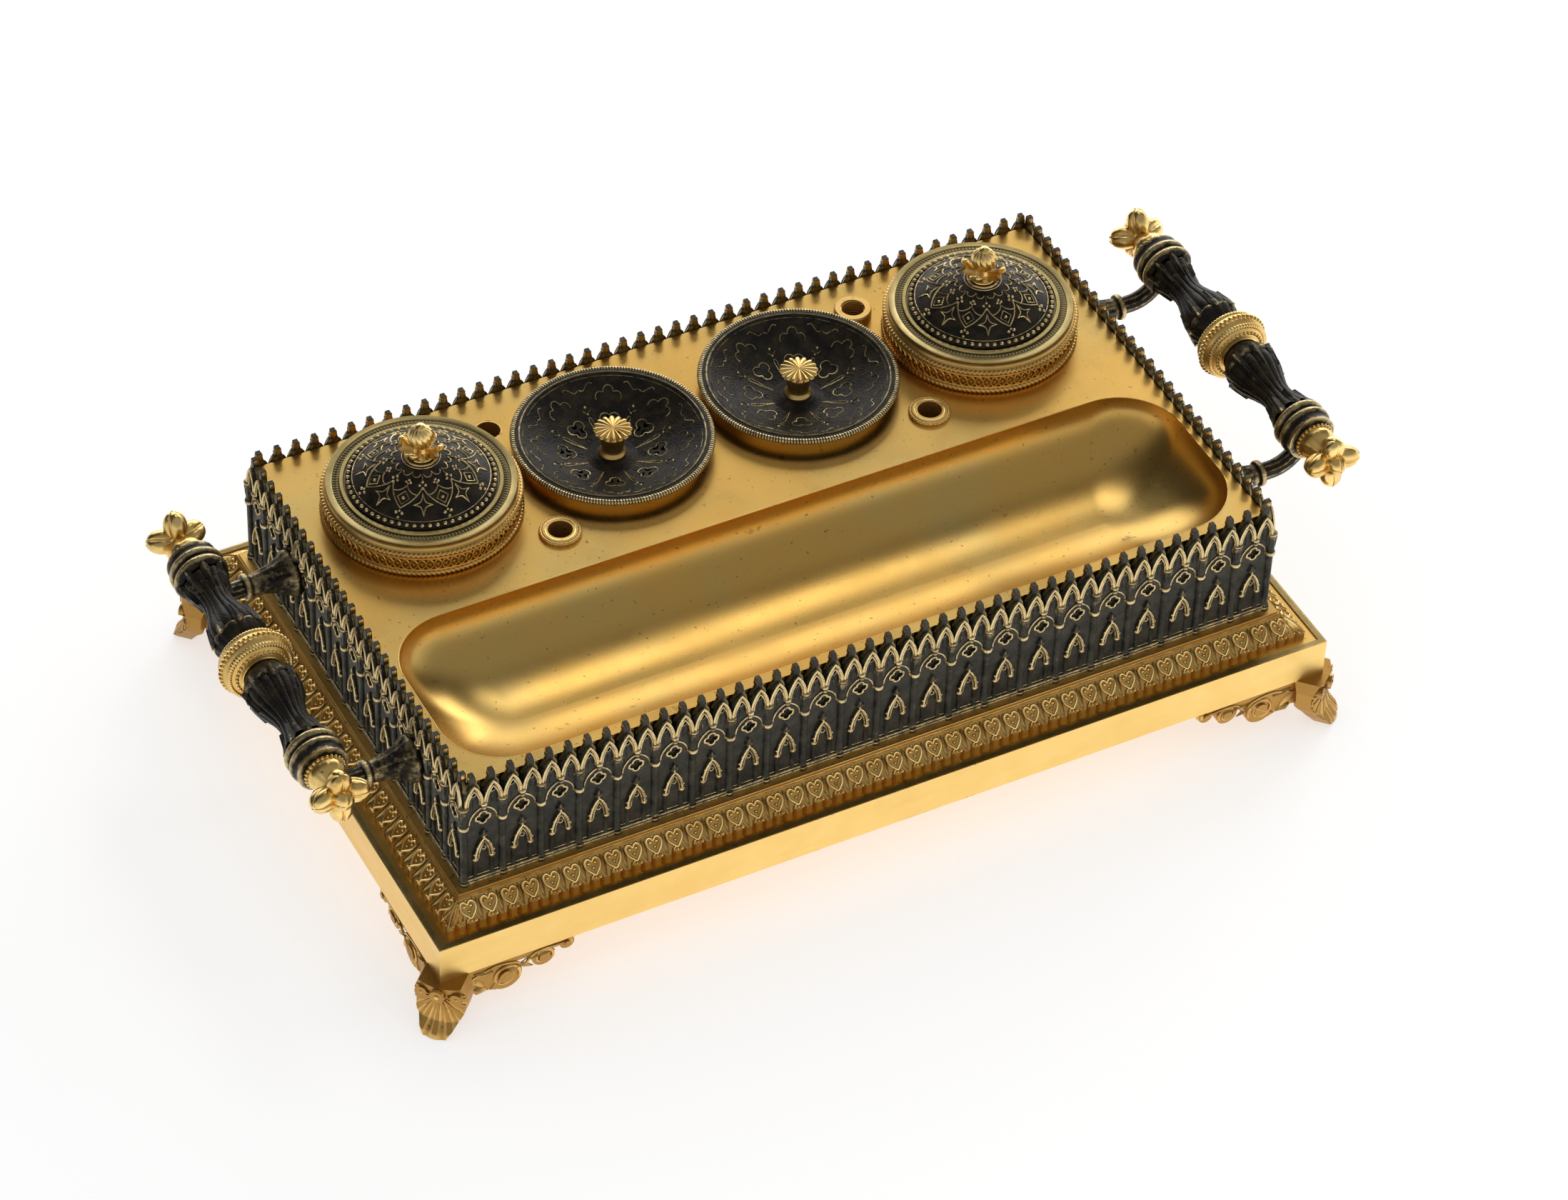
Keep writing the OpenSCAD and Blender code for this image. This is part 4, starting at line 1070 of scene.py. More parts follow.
@dataclass
class Gallery:
    """The arcaded gallery: columns, gables, tracery and niches on its four walls.

    Attributes:
        layout: The shared places.
        bays: How many bays a long and a short side have.
        relief: How far the columns' fronts stand before the panel.
        panel: The thickness of the panel behind the tracery.
        column_in: How far the columns' axes lie behind their fronts.
        corner: How far the end columns stand in from a corner.
        cap: The height of the capitals.
        apex: The height of the gables' points.
        height: The height of the buds.
        stand: How far a colonnette stands from its bay's middle, as a share of the bay.
        spring: The height that a niche's arch springs from.
    """

    layout: Layout
    bays: tuple[int, int] = (22, 13)
    relief: float = 1.4
    panel: float = 2.0
    column_in: float = 1.3
    corner: float = 1.75
    cap: float = 34.5
    apex: float = 43.6
    height: float = 47.0
    stand: float = 0.215
    spring: float = 10.0

    @staticmethod
    def column() -> Casting:
        """A column with its base, its ring and its clustered capital, on the Z axis."""
        cast = Casting()
        outline = [(1.6, 0.2), (1.8, 0.5), (1.72, 1.1), (1.35, 1.5), (1.5, 2.0), (1.42, 2.5), (1.2, 3.0),
                   (1.2, 24.4), (1.3, 24.9), (1.82, 25.2), (1.88, 25.8), (1.75, 26.3), (1.3, 26.6),
                   (1.25, 28.2), (1.35, 29.8), (1.42, 31.8), (1.5, 33.2), (1.55, 33.7), (1.85, 34.0),
                   (1.9, 34.5), (1.5, 34.85), (0.01, 34.9)]
        by = [0] * 13 + [0.12, 0.3, 0.36, 0.42, 0.3, 0.1, 0, 0, 0]
        wear = [0.4, 0.85, 0.8, 0.3, 0.7, 0.5, 0.35, 0.42, 0.6, 1, 1, 0.9, 0.2,
                0.25, 0.4, 0.5, 0.6, 0.5, 0.9, 1, 0.8, 0.5]
        cast.revolve(outline, 16, HERE, ripple(8), by, wear)
        return cast

    def gable(self, half: float) -> Casting:
        """The head of a gable, bevelled on its inner side, with its square bud.

        Args:
            half: Half its width at the plate.

        Returns:
            The head, its inner face at Y = 0.
        """
        side = smooth([(half, -7.0), (0.92 * half, -5.6), (0.66 * half, -4.1), (0.95, -2.9), (0.95, -2.5),
                       (1.42, -1.8), (1.42, -0.9), (0.95, -0.25)], 2)
        wide, z = np.concatenate([side, [(0.02, -0.15)]])[:, :, None].transpose(1, 0, 2)
        x, y = np.array([(-0.8, -1.7), (0.8, -1.7), (1.0, -0.8), (0.62, 0.06), (-0.62, 0.06), (-1.0, -0.8)]).T
        cast = Casting()
        cast.sheet(np.stack(np.broadcast_arrays(wide * x, y, self.height + z), -1),
                   np.clip((z + 2.9) * 0.4, 0.09, 0.75), True)
        return cast

    @staticmethod
    def colonnette(height: float) -> Casting:
        """A slender column of a niche."""
        cast = Casting()
        foot = [(1.0, 0.1), (1.15, 0.5), (1.0, 0.9), (0.78, 1.2)]
        head = [(0.78, -1.5), (1.05, -1.2), (1.25, -0.8), (1.2, -0.1), (0.9, 0.2), (0.01, 0.25)]
        cast.revolve(foot + [(r, height + z) for r, z in head], 10,
                     wear=[0.3, 0.7, 0.5, 0.3, 0.35, 0.8, 1, 1, 0.7, 0.3])
        return cast

    def bay(self, width: float) -> Casting:
        """What lies between two columns, its middle at X = 0."""
        cast, face = Casting(), wall_drawing(self.panel)
        cap, rise, step = self.cap, self.apex - self.cap, width / 2
        for x in (-step / 2, step / 2):
            face.wire(cast, lancet(step / 2 - 0.45, rise - 0.6, cap, 7, x), 0.58, 0.85, wear=1.05)
            face.wire(cast, lancet(step / 2 - 1.25, rise - 2.6, cap, 6, x), 0.34, 0.75, 5, wear=0.9)
            face.wire(cast, circle((x, cap + 4.6), 1.1, 12), 0.24, 0.1, 5, True, wear=0.7)
            face.wire(cast, [(x, cap - 1.8), (x, cap + 1.6)], 0.25, 0.05, 5, wear=0.5)
        face.wire(cast, lobed(4, 1.28, 1.3, 7) + [0, cap - 6.9], 0.4, 0.12, 6, True)
        face.wire(cast, lancet(step - 1.9, 6.4, cap - 8.6, 6), 0.36, 0.1, 5, wear=0.85)
        pendant = [(0.01, -3.0), (0.6, -2.5), (0.95, -1.7), (0.75, -1.0), (1.2, -0.5), (1.3, 0.2), (0.9, 0.7),
                   (0.01, 0.9)]
        cast.revolve(pendant, 10, moved(0, -self.panel - 0.75, cap), ripple(5),
                     [0, 0.05, 0.12, 0, 0.15, 0.1, 0, 0], [1, 1, 0.9, 0.4, 0.9, 1, 0.8, 0.5])
        self.niche(cast, face, self.stand * width)
        return cast

    def niche(self, cast: Casting, face: Drawing, stand: float) -> None:
        """The small arch of a bay, on two colonnettes and under a fleuron.

        Args:
            cast: The piece that gains it.
            face: The wall's drawing.
            stand: How far the colonnettes stand from the middle.
        """
        spring, z = self.spring, self.spring + 9.4
        feet = [moved(s * stand, -self.panel - 0.15, 0.3) for s in (-1, 1)]
        cast.copies(self.colonnette(spring + 0.3), feet)
        face.wire(cast, lancet(stand + 0.1, 8.6, spring + 0.3, 7), 0.5, 0.95, wear=1.05)
        face.wire(cast, lancet(stand - 1.0, 6.9, spring + 0.4, 6), 0.32, 0.8, 5, wear=0.75)
        face.wire(cast, circle((0, spring + 4.4), 0.75, 10), 0.25, 0.6, 5, True, wear=0.8)
        for s in (-1, 1):
            face.leaf(cast, (s * 0.2, z - 0.3), (s * 1.55, z + 1.3), 1.1, 1.0, 0.3, 6)
        face.leaf(cast, (0, z - 0.2), (0, z + 3.3), 1.35, 1.3, 0.3, 8)
        face.stud(cast, (0, z - 0.1), (0.75, 0.5, 0.6), 0.75)
        for s in (-1, 1):
            for x, up in ((0.9, 2.4), (0.55, 5.1)):
                face.stud(cast, (s * (stand * x + 0.75), spring + up), 0.5, 0.75, 0.9, 3, 6)

    def wall(self, side: Side) -> None:
        """Dresses one wall."""
        front, word = corners_of("gallery_front"), side.name.lower()
        inner = side.reach(corners_of(f"gallery_{word}"), False)
        length, count = (front[1][0], self.bays[0]) if side.is_long else (-front[0][1], self.bays[1])
        reach = length - self.corner
        width = 2 * reach / count
        place = side.place(inner, self.layout.seat_top)
        run = Casting()
        run.copies(self.bay(width), [moved((i + 0.5) * width - reach) for i in range(count)])
        spots = range(0, count + 1) if side.is_long else range(1, count)
        axis = self.column_in - self.panel - self.relief
        run.copies(self.column(), [moved(i * width - reach, axis, 0.1) for i in spots])
        end = reach if side.is_long else reach - 2.0
        for z, radius, lift in ((0.35, 0.4, 0.8), (1.45, 0.45, 0.7), (2.3, 0.25, 0.05)):
            wall_drawing(self.panel).wire(run, [(-end, z), (0, z), (end, z)], radius, lift, wear=0.8)
        run.build(f"gallery_tracery_{word}", Finish.PATINA, place)
        run = Casting()
        spots = [moved((i + 0.5) * width / 2 - reach) for i in range(2 * count)]
        run.copies(self.gable(width / 4 - 0.1), spots)
        run.build(f"gallery_gables_{word}", Finish.DRUM, place)

    def build(self) -> None:
        """Dresses the four walls."""
        for side in Side:
            self.wall(side)


# ---------------------------------------------------------------- the top plate and its fittings


@dataclass
class TopPlate:
    """The satin plate: the lining of its trough and the fittings of the quill holders.

    Attributes:
        layout: The shared places.
        trough: The length and width of the pen trough.
        corner: The radius of its corners.
        edge: The width of the plate before it.
        depth: Its depth.
        lip: The radius of its rounded edge.
        quill: The axis of the bare tube at the back right.
        bore: The inner radius of that tube.
        thread_turns: How many turns its thread has.
        thread_height: How far the thread reaches down.
    """

    layout: Layout
    trough: tuple[float, float] = (288.0, 70.0)
    corner: float = 22.0
    edge: float = 3.9
    depth: float = 22.0
    lip: float = 0.28
    quill: tuple[float, float] = (69.3, 66.0)
    bore: float = 4.2
    thread_turns: int = 7
    thread_height: float = 8.0

    def trough_ring(self, share: float, z: float, grown: float = 0.0) -> Array:
        """A level line round the trough.

        Args:
            share: How far it lies from the middle line, where 1 is the trough's edge.
            z: Its height.
            grown: How much it is widened.

        Returns:
            The points of the line.
        """
        middle = corners_of("top_plate")[0][1] + self.edge + self.trough[1] / 2
        half = self.trough[1] / 2 * share
        r = half * (1 - (1 - 2 * self.corner / self.trough[1]) * share)
        x, y = (self.trough[0] - self.trough[1]) / 2 + half - r, half - r
        ring = np.concatenate([arc((sx * x, middle + sy * y), r + grown, start, start + 90, 14)
                               for sx, sy, start in ((1, 1, 0), (-1, 1, 90), (-1, -1, 180), (1, -1, 270))])
        return np.concatenate([ring, np.full((len(ring), 1), z)], 1)

    def trough_lining(self) -> None:
        """The hollow of the pen trough, an ellipse across, with its rounded edge."""
        cast, top = Casting(), self.layout.plate_top
        angles = np.radians(np.linspace(89.5, 1, 30))
        cast.sheet(np.array([self.trough_ring(math.cos(a), top - self.depth * math.sin(a)) for a in angles]),
                   0.0, True)
        cast.tube(self.trough_ring(1.0, top - self.lip * 0.75, 0.05), self.lip, UP, 8, True)
        cast.build("trough_lining", Finish.SATIN)

    def quill_beads(self) -> None:
        """Rings the two front quill holders with beads."""
        for side in ("left", "right"):
            cast = Casting()
            x, y, _ = np.mean(corners_of(f"quill_socket_front_{side}"), 0)
            cast.beads(ring_places(28, 6.6, 0.7), 0.72)
            cast.revolve([(5.75, 1.2), (5.5, 1.58), (5.0, 1.62), (4.75, 1.45)], 48, wear=[0.6, 1, 1, 0.6])
            cast.build(f"quill_socket_beads_{side}", Finish.GILT, moved(x, y, self.layout.plate_top))

    def thread(self) -> None:
        """Cuts the thread inside the bare tube at the back right."""
        cast = Casting()
        angle = np.linspace(0, TAU * self.thread_turns, 24 * self.thread_turns + 1)
        cast.tube(polar(self.bore - 0.05, angle, 2.9 - self.thread_height * angle / angle[-1]), 0.3, UP, 5,
                  wear=0.6)
        cast.build("quill_tube_thread", Finish.GILT, moved(*self.quill, self.layout.plate_top))

    def build(self) -> None:
        """Builds the fittings."""
        self.trough_lining()
        self.quill_beads()
        self.thread()


# ---------------------------------------------------------------- the lids and dishes


@dataclass
class Lid:
    """A turned lid, drawn round the Z axis and set down on its own axis.

    Attributes:
        word: What the names of its pieces end or start with.
        node: The solid that gives it its place.
        body: The body that it moves with.
    """

    word: str
    node: str
    body: str

    def __post_init__(self) -> None:
        """Finds the axis and the heights of the solid that gives the lid its place."""
        low, high = corners_of(self.node)
        self.axis = moved((low[0] + high[0]) / 2, (low[1] + high[1]) / 2)
        self.foot, self.head = low[2], high[2]

    def set_down(self, piece: Casting, name: str, finish: Finish, *replaces: str) -> None:
        """Builds a piece on the lid's axis, in the place of the solids it replaces."""
        piece.build(name, finish, self.axis, self.body, replaces)


@dataclass
class InkLid(Lid):
    """The lid of an ink pot: a roped drum, a domed medallion and a fluted ball finial.

    Attributes:
        collar: The radius of the drum's hollow.
        band: The radius of the drum's band.
        drum: The height of the drum.
        medal: The radius of the medallion.
        medal_rise: The height of the medallion's crown over the drum.
        studs: How many beads lie round the medallion.
        twists: How many twists each rope has.
        ovals: How many ovals the band has.
        teeth: How many teeth the milled ring has.
        ball: The radius of the finial's ball.
    """

    collar: float = 31.5
    band: float = 32.8
    drum: float = 12.4
    medal: float = 25.2
    medal_rise: float = 10.8
    studs: int = 60
    twists: int = 130
    ovals: int = 77
    teeth: int = 150
    ball: float = 4.35

    @property
    def top(self) -> float:
        """The height of the drum's top."""
        return self.foot + self.drum

    def dome(self, radius: Array) -> Array:
        """The height of the medallion at a radius."""
        s = (self.medal - 1.8 - np.clip(radius, 4.5, self.medal - 1.8)) / (self.medal - 6.3)
        return self.top + 1.3 + (self.medal_rise - 1.3) * (1.7 * s - 0.7 * s * s)

    def make_drum(self) -> None:
        """The drum, hollow below, with its band and its two ropes."""
        piece = Casting()
        z0, z1, band, step, hole = self.foot, self.top, self.band, self.medal + 2, self.collar
        outline = [(2.0, z1 - 2), (hole - 2, z1 - 2), (hole - 1.9, z0 + 3.3), (hole + 0.3, z0 + 3.1),
                   (hole + 0.3, z0), (band + 0.1, z0), (band + 0.1, z0 + 1.9), (band - 0.25, z0 + 2.1)]
        outline += [(band + r, z1 + z) for r, z in (
            (-0.25, -5.2), (0, -4.9), (0, -3.3), (-0.5, -2.9), (-1.0, -2.4), (-1.25, -1.6), (-1.2, -0.9),
            (-1.0, -0.6), (-0.95, -0.25), (-1.15, 0))]
        outline += [(step + r, z1 + z) for r, z in (
            (2.5, 0), (2.3, -0.12), (2.2, -0.5), (0.1, -0.5), (0, 0.2), (-0.15, 0.42), (-1.3, 0.42),
            (-1.45, 0.2), (-1.5, -0.1))] + [(2.0, z1 - 0.1)]
        wear = [0.3, 0.3, 0.3, 0.3, 0.6, 0.8, 0.8, 0.55, 0.55, 0.8, 0.8, 0.8, 0.7, 0.4, 0.5, 0.5, 0.5, 0.5,
                0.36, 0.3, 0.1, 0.1, 0.4, 0.5, 0.5, 0.4, 0.1, 0.1]
        piece.revolve(outline, 160, wear=wear)
        piece.rope(band + 0.05, z0 + 1.0, 0.98, self.twists, 2, 0.13)
        piece.rope(band - 0.15, z1 - 3.9, 0.98, self.twists, -2, 0.13)
        self.set_down(piece, f"ink_lid_drum_turned_{self.word}", Finish.DRUM, f"ink_lid_drum_{self.word}")

    def make_arcade(self) -> None:
        """The band of interlaced ovals between the ropes."""
        piece = Casting()
        z, pitch = self.foot + 4.6, TAU / self.ovals
        x, y = circle((0, 0), 1, 16).T
        weave = self.band + 0.12 + 0.12 * np.sin(2 * np.arctan2(y, x))
        for k in range(self.ovals):
            path = polar(weave, pitch * k + x * pitch * 0.98, z + 2.35 * y)
            piece.tube(path, 0.3, unit(path * [1, 1, 0]), 5, True, wear=0.95)
        for height in (2.05, 7.1):
            piece.hoop(self.band + 0.05, self.foot + height, 0.28, 120, 5, 0.8, True)
        piece.beads(ring_places(self.ovals, self.band + 0.02, z, pitch / 2), (0.3, 0.34, 0.42), 3, 6)
        self.set_down(piece, f"ink_lid_arcade_{self.word}", Finish.DRUM)

    def make_milling(self) -> None:
        """The dark milled ring round the medallion."""
        piece = Casting()
        steps = 4 * self.teeth
        turn = TAU * np.arange(steps)[None, :] / steps
        radii = np.linspace(self.medal + 2.05, self.medal + 4.25, 5)[:, None]
        lean = np.abs(np.linspace(-1, 1, 5))[:, None]
        tooth = ripple(2)(self.teeth * turn / 2 + 1.4 * lean)
        height = self.top - 0.42 + 0.36 * tooth * np.array([0.2, 1, 1, 1, 0.2])[:, None]
        piece.sheet(polar(radii, turn, height), 0.03 + 0.06 * tooth, True)
        self.set_down(piece, f"ink_lid_milling_{self.word}", Finish.DRUM)

    def make_medallion(self) -> None:
        """The domed medallion with its tracery of raised lines."""
        piece, on, r, z = Casting(), RoundDrawing(self.dome), self.medal, self.top
        radii = np.linspace(r - 1.8, 4.5, 16)
        piece.revolve([(r - 0.02, z - 0.3), (r, z + 0.9), (r - 0.5, z + 1.1), *zip(radii, self.dome(radii)),
                       (2.0, z + self.medal_rise)], 128)
        piece.beads(ring_places(self.studs, r - 0.95, z + 1.35), (0.82, 0.86, 0.82), wear=1.1)
        line, thin = 0.29, 0.24
        for radius, size in ((22.8, 0.2), (5.3, 0.42), (6.4, 0.2)):
            on.wire(piece, circle((0, 0), radius, 96), size, 0.05, 5, True, wear=0.9)
        arch = over([(4.85, 12.1), (4.7, 13.6), (3.9, 15.6), (2.3, 17.8), (0, 19.7)], 4)
        chevron = over([(4.2, 14.9), (2.6, 14.9), (1.0, 14.1), (0, 12.9)], 3)
        diamond = [(0, 14.7), (2.05, 16.7), (0, 18.7), (-2.05, 16.7), (0, 14.7)]
        cusp = smooth([(-2.9, 8.1), (-2.5, 9.3), (-1.2, 9.6), (-0.2, 8.6), (0, 7.9), (0.2, 8.6), (1.2, 9.6),
                       (2.5, 9.3), (2.9, 8.1)], 3)
        points = np.stack([circle((0, 0), 3.3, 4), circle((0, 0), 1.15, 4) @ about_z(-TAU / 8)[:2, :2],
                           np.roll(circle((0, 0), 3.3, 4), -1, 0)], 1)
        star = np.concatenate([smooth(point, 4)[:-1] for point in points])
        for k in range(8):
            a, b = TAU * k / 8, TAU * k / 8 + TAU / 16
            on.line(piece, arch, a, line, 0.12)
            on.line(piece, chevron, a, thin, 0.1)
            on.line(piece, diamond, a, thin, 0.1)
            on.dots(piece, [(0, 16.8, 0.62, 0.45), (0, 11.0, 0.5, 0.4), (0.75, 11.75, 0.5, 0.4),
                            (-0.75, 11.75, 0.5, 0.4), (0, 12.3, 0.4, 0.4), (0, 22.2, 0.55, 0.45),
                            (1.05, 21.0, 0.62, 0.45), (-1.05, 21.0, 0.62, 0.45), (0, 20.5, 0.5, 0.45)], a)
            on.line(piece, cusp, a, thin, 0.08)
            on.leaf(piece, *turned_points([(0, 8.6), (0, 11.6)], b), 0.8, 0.5, 0.05, 5)
            on.dots(piece, [(0, 11.3, 0.55, 0.45), (0.95, 12.3, 0.55, 0.45), (-0.95, 12.3, 0.55, 0.45),
                            (0, 13.4, 0.55, 0.45)], b, 0.1)
            on.line(piece, star, b, thin, 0.1, closed=True, out=18.2)
        self.set_down(piece, f"ink_lid_medallion_chased_{self.word}", Finish.DARK,
                      f"ink_lid_medallion_{self.word}")

    def make_finial(self) -> None:
        """The fluted ball on its foot of four curling leaves."""
        piece, finial = Casting(), Casting()
        foot = [(2.2, -0.8), (4.3, -0.3), (4.45, 0.3), (4.2, 0.8), (3.1, 1.2), (2.6, 1.6), (2.5, 2.2),
                (2.9, 2.8), (2.6, 3.6), (2.3, 4.6)]
        piece.revolve(foot, 40, wear=[0.3, 0.6, 1, 0.9, 0.5, 0.4, 0.5, 0.9, 0.7, 0.4])
        middle = 8.0
        rise = np.radians(np.linspace(-80, 66, 18))[:, None]
        turn = TAU * np.arange(144)[None, :] / 144
        flute = ripple(12, 0.6)(turn + 0.35 * rise)
        radius = self.ball * np.cos(rise) * (0.9 + 0.12 * flute)
        height = middle + self.ball * np.sin(rise) * (0.97 + 0.05 * flute)
        piece.sheet(polar(radius, turn, height), 0.35 + 0.65 * flute, True)
        tip = [(1.75, middle + 3.9), (1.9, middle + 4.3), (1.6, middle + 4.75), (0.8, middle + 5.3),
               (0.01, middle + 5.45)]
        piece.revolve(tip, 32, HERE, ripple(8), [0.05, 0.1, 0.15, 0.05, 0], 1.0)
        piece.copies(self.curled_leaf(), ring_places(4, 0, -1.5, TAU / 8))
        finial.copies(piece, [moved(z=self.top + self.medal_rise)])
        self.set_down(finial, f"ink_lid_finial_fluted_{self.word}", Finish.GILT,
                      f"ink_lid_finial_{self.word}")

    @staticmethod
    def curled_leaf() -> Casting:
        """A leaf that rises from the stem and curls outwards along +X."""
        leaf = Casting()
        spine = smooth([(1.6, 4.1), (3.2, 4.6), (4.9, 5.6), (6.2, 6.9), (7.1, 7.1), (7.5, 6.2), (7.0, 5.3),
                        (6.0, 5.0)], 3)
        t = np.linspace(0, 1, len(spine))
        half = 0.9 + 2.1 * np.sin(np.pi * np.clip(t * 0.9 + 0.1, 0, 1)) ** 0.7
        half = half * (1 + 0.10 * np.cos(7 * np.pi * t))
        across = np.linspace(-1, 1, 7)
        lift = 0.35 * np.cos(5 * np.pi * across) + 0.2 - 1.3 * np.abs(across) ** 1.6
        along = unit(np.gradient(spine, axis=0))
        for under, order in ((0.0, 1), (-0.45, -1)):
            x = spine[:, :1] - along[:, 1:] * (lift + under)
            z = spine[:, 1:] + along[:, :1] * (lift + under)
            points = np.stack([x, half[:, None] * across, z], -1)
            leaf.sheet(points[:, ::order], 0.45 + 0.55 * np.exp(-(across / 0.5) ** 2))
        return leaf

    def build(self) -> None:
        """Builds the whole lid."""
        self.make_drum()
        self.make_arcade()
        self.make_milling()
        self.make_medallion()
        self.make_finial()


@dataclass
class Dish(Lid):
    """A dished lid with a rope rim, shallow tracery and a rosette knob.

    Attributes:
        rim: The radius of the rim.
        wire: The radius of the rope round it.
        deep: The depth of the hollow.
        knob_height: The height of the knob.
        knob_foot: The height of the knob's foot over the hollow.
        ridges: How many ridges the rope has.
    """

    rim: float = 34.4
    wire: float = 0.9
    deep: float = 11.0
    knob_height: float = 13.7
    knob_foot: float = 2.4
    ridges: int = 214

    @property
    def middle(self) -> float:
        """The height of the dish on its axis."""
        return self.head - self.wire + 0.8 - self.deep

    @property
    def inner(self) -> float:
        """The radius of the hollow."""
        return self.rim - 2 * self.wire - 1.6

    def hollow(self, radius: Numbers) -> Array:
        """The height of the dish at a radius."""
        return self.middle + self.deep * (np.asarray(radius, float) / self.inner) ** 2

    def make_rim(self) -> None:
        """The rope round the rim, and the beaded step inside it."""
        piece = Casting()
        piece.rope(self.rim - self.wire, self.head - self.wire, self.wire * 1.04, self.ridges, 0.6, 0.15, 10,
                   1.15)
        piece.hoop(self.inner + 0.35, self.hollow(self.inner) + 0.05, 0.3, 120, 6, 0.75)
        self.set_down(piece, f"{self.word}_dish_rope", Finish.DARK)

    def make_tracery(self) -> None:
        """The raised lines of the dish."""
        piece, on = Casting(), RoundDrawing(self.hollow)
        line, thin, m = 0.27, 0.22, self.middle
        piece.revolve([(9.0, self.hollow(9.0) + 0.02), (7.4, m + 1.2), (6.0, m + 2.1), (4.4, m + 2.5),
                       (1.5, m + 2.5)], 48)
        on.wire(piece, circle((0, 0), self.inner - 0.9, 96), 0.16, 0.05, 5, True, wear=0.6)
        trefoil = lobed(3, 1.85, 1.75, 8)[:, ::-1] * [1, -1]
        lobes = (arc((0, 25.6), 1.75, -15, 195, 9), arc((2.7, 23.6), 1.75, -36.75, 120.75, 9),
                 arc((-2.7, 23.6), 1.75, 59.25, 216.75, 9))
        wedge = [(0, 8.8), (0.35, 12.5), (0.62, 16.6), (0.35, 17.6), (0, 17.8), (-0.35, 17.6), (-0.62, 16.6),
                 (-0.35, 12.5), (0, 8.8)]
        bow = np.array([(0.3, 26.9), (1.6, 26.4), (2.9, 27.3), (4.4, 28.2), (5.6, 27.6)])
        for k in range(8):
            a, b = TAU * (k + 0.5) / 8, TAU * k / 8
            on.line(piece, trefoil, a, line, 0.05, 0.85, True, 15.6)
            on.line(piece, circle((0, 10.4), 0.95, 10), a, 0.2, 0.0, 0.25, True)
            for lobe in lobes:
                on.line(piece, lobe, a, thin, 0.05, 0.75)
            on.line(piece, wedge, b, thin, 0.06, 0.9)
            on.dots(piece, [(0, 19.0, 0.42, 0.3), (0, 21.4, 0.5, 0.3)], b)
            for s in (-1, 1):
                on.leaf(piece, *turned_points([(0.2 * s, 19.1), (1.9 * s, 20.6)], b), 0.9, 0.4, 0.02, 6, 0.9)
                on.line(piece, smooth(bow * [s, 1], 3), b, thin, 0.04, 0.7)
        self.set_down(piece, f"{self.word}_dish_tracery", Finish.DARK)

    def make_knob(self) -> None:
        """The vase knob under its sixteen-petalled rosette."""
        piece = Casting()
        z, top = self.middle + self.knob_foot, self.middle + 0.3 + self.knob_height
        h = top - z
        stem = [(1.0, self.middle - 2.7), (1.5, z - 0.6), (4.7, z), (4.9, z + 0.5), (4.65, z + 1.1),
                (3.9, z + 1.5), (3.6, z + 2.2), (3.7, z + 3.0), (4.1, z + 0.45 * h), (4.5, z + 0.6 * h),
                (4.6, z + 0.72 * h), (4.3, top - 3.0), (5.2, top - 2.2), (5.6, top - 1.7), (3.0, top - 1.5)]
        wear = [0.3, 0.3, 0.6, 0.9, 0.8, 0.4, 0.4, 0.5, 0.6, 0.7, 0.6, 0.4, 0.6, 0.7, 0.5]
        piece.revolve(stem, 48, wear=wear)
        turn = TAU * np.arange(256)[None, :] / 256
        fold = ripple(16)(turn)
        share = np.array([0.8, 0.96, 1.0, 0.97, 0.85, 0.6, 0.35, 0.12, 0.01])[:, None]
        fall = np.array([1.75, 1.65, 1.3, 0.95, 0.7, 0.45, 0.32, 0.28, 0.28])[:, None]
        piece.sheet(polar(share * (5.75 + 0.9 * fold ** 0.6), turn,
                          top - fall + 0.75 * (fold ** 0.8 - 0.7) * share ** 0.7), 0.25 + 0.75 * fold, True)
        self.set_down(piece, f"{self.word}_knob_rosette", Finish.GILT, f"{self.word}_knob")

    def build(self) -> None:
        """Builds the whole dish."""
        self.make_rim()
        self.make_tracery()
        self.make_knob()


# ---------------------------------------------------------------- the handles


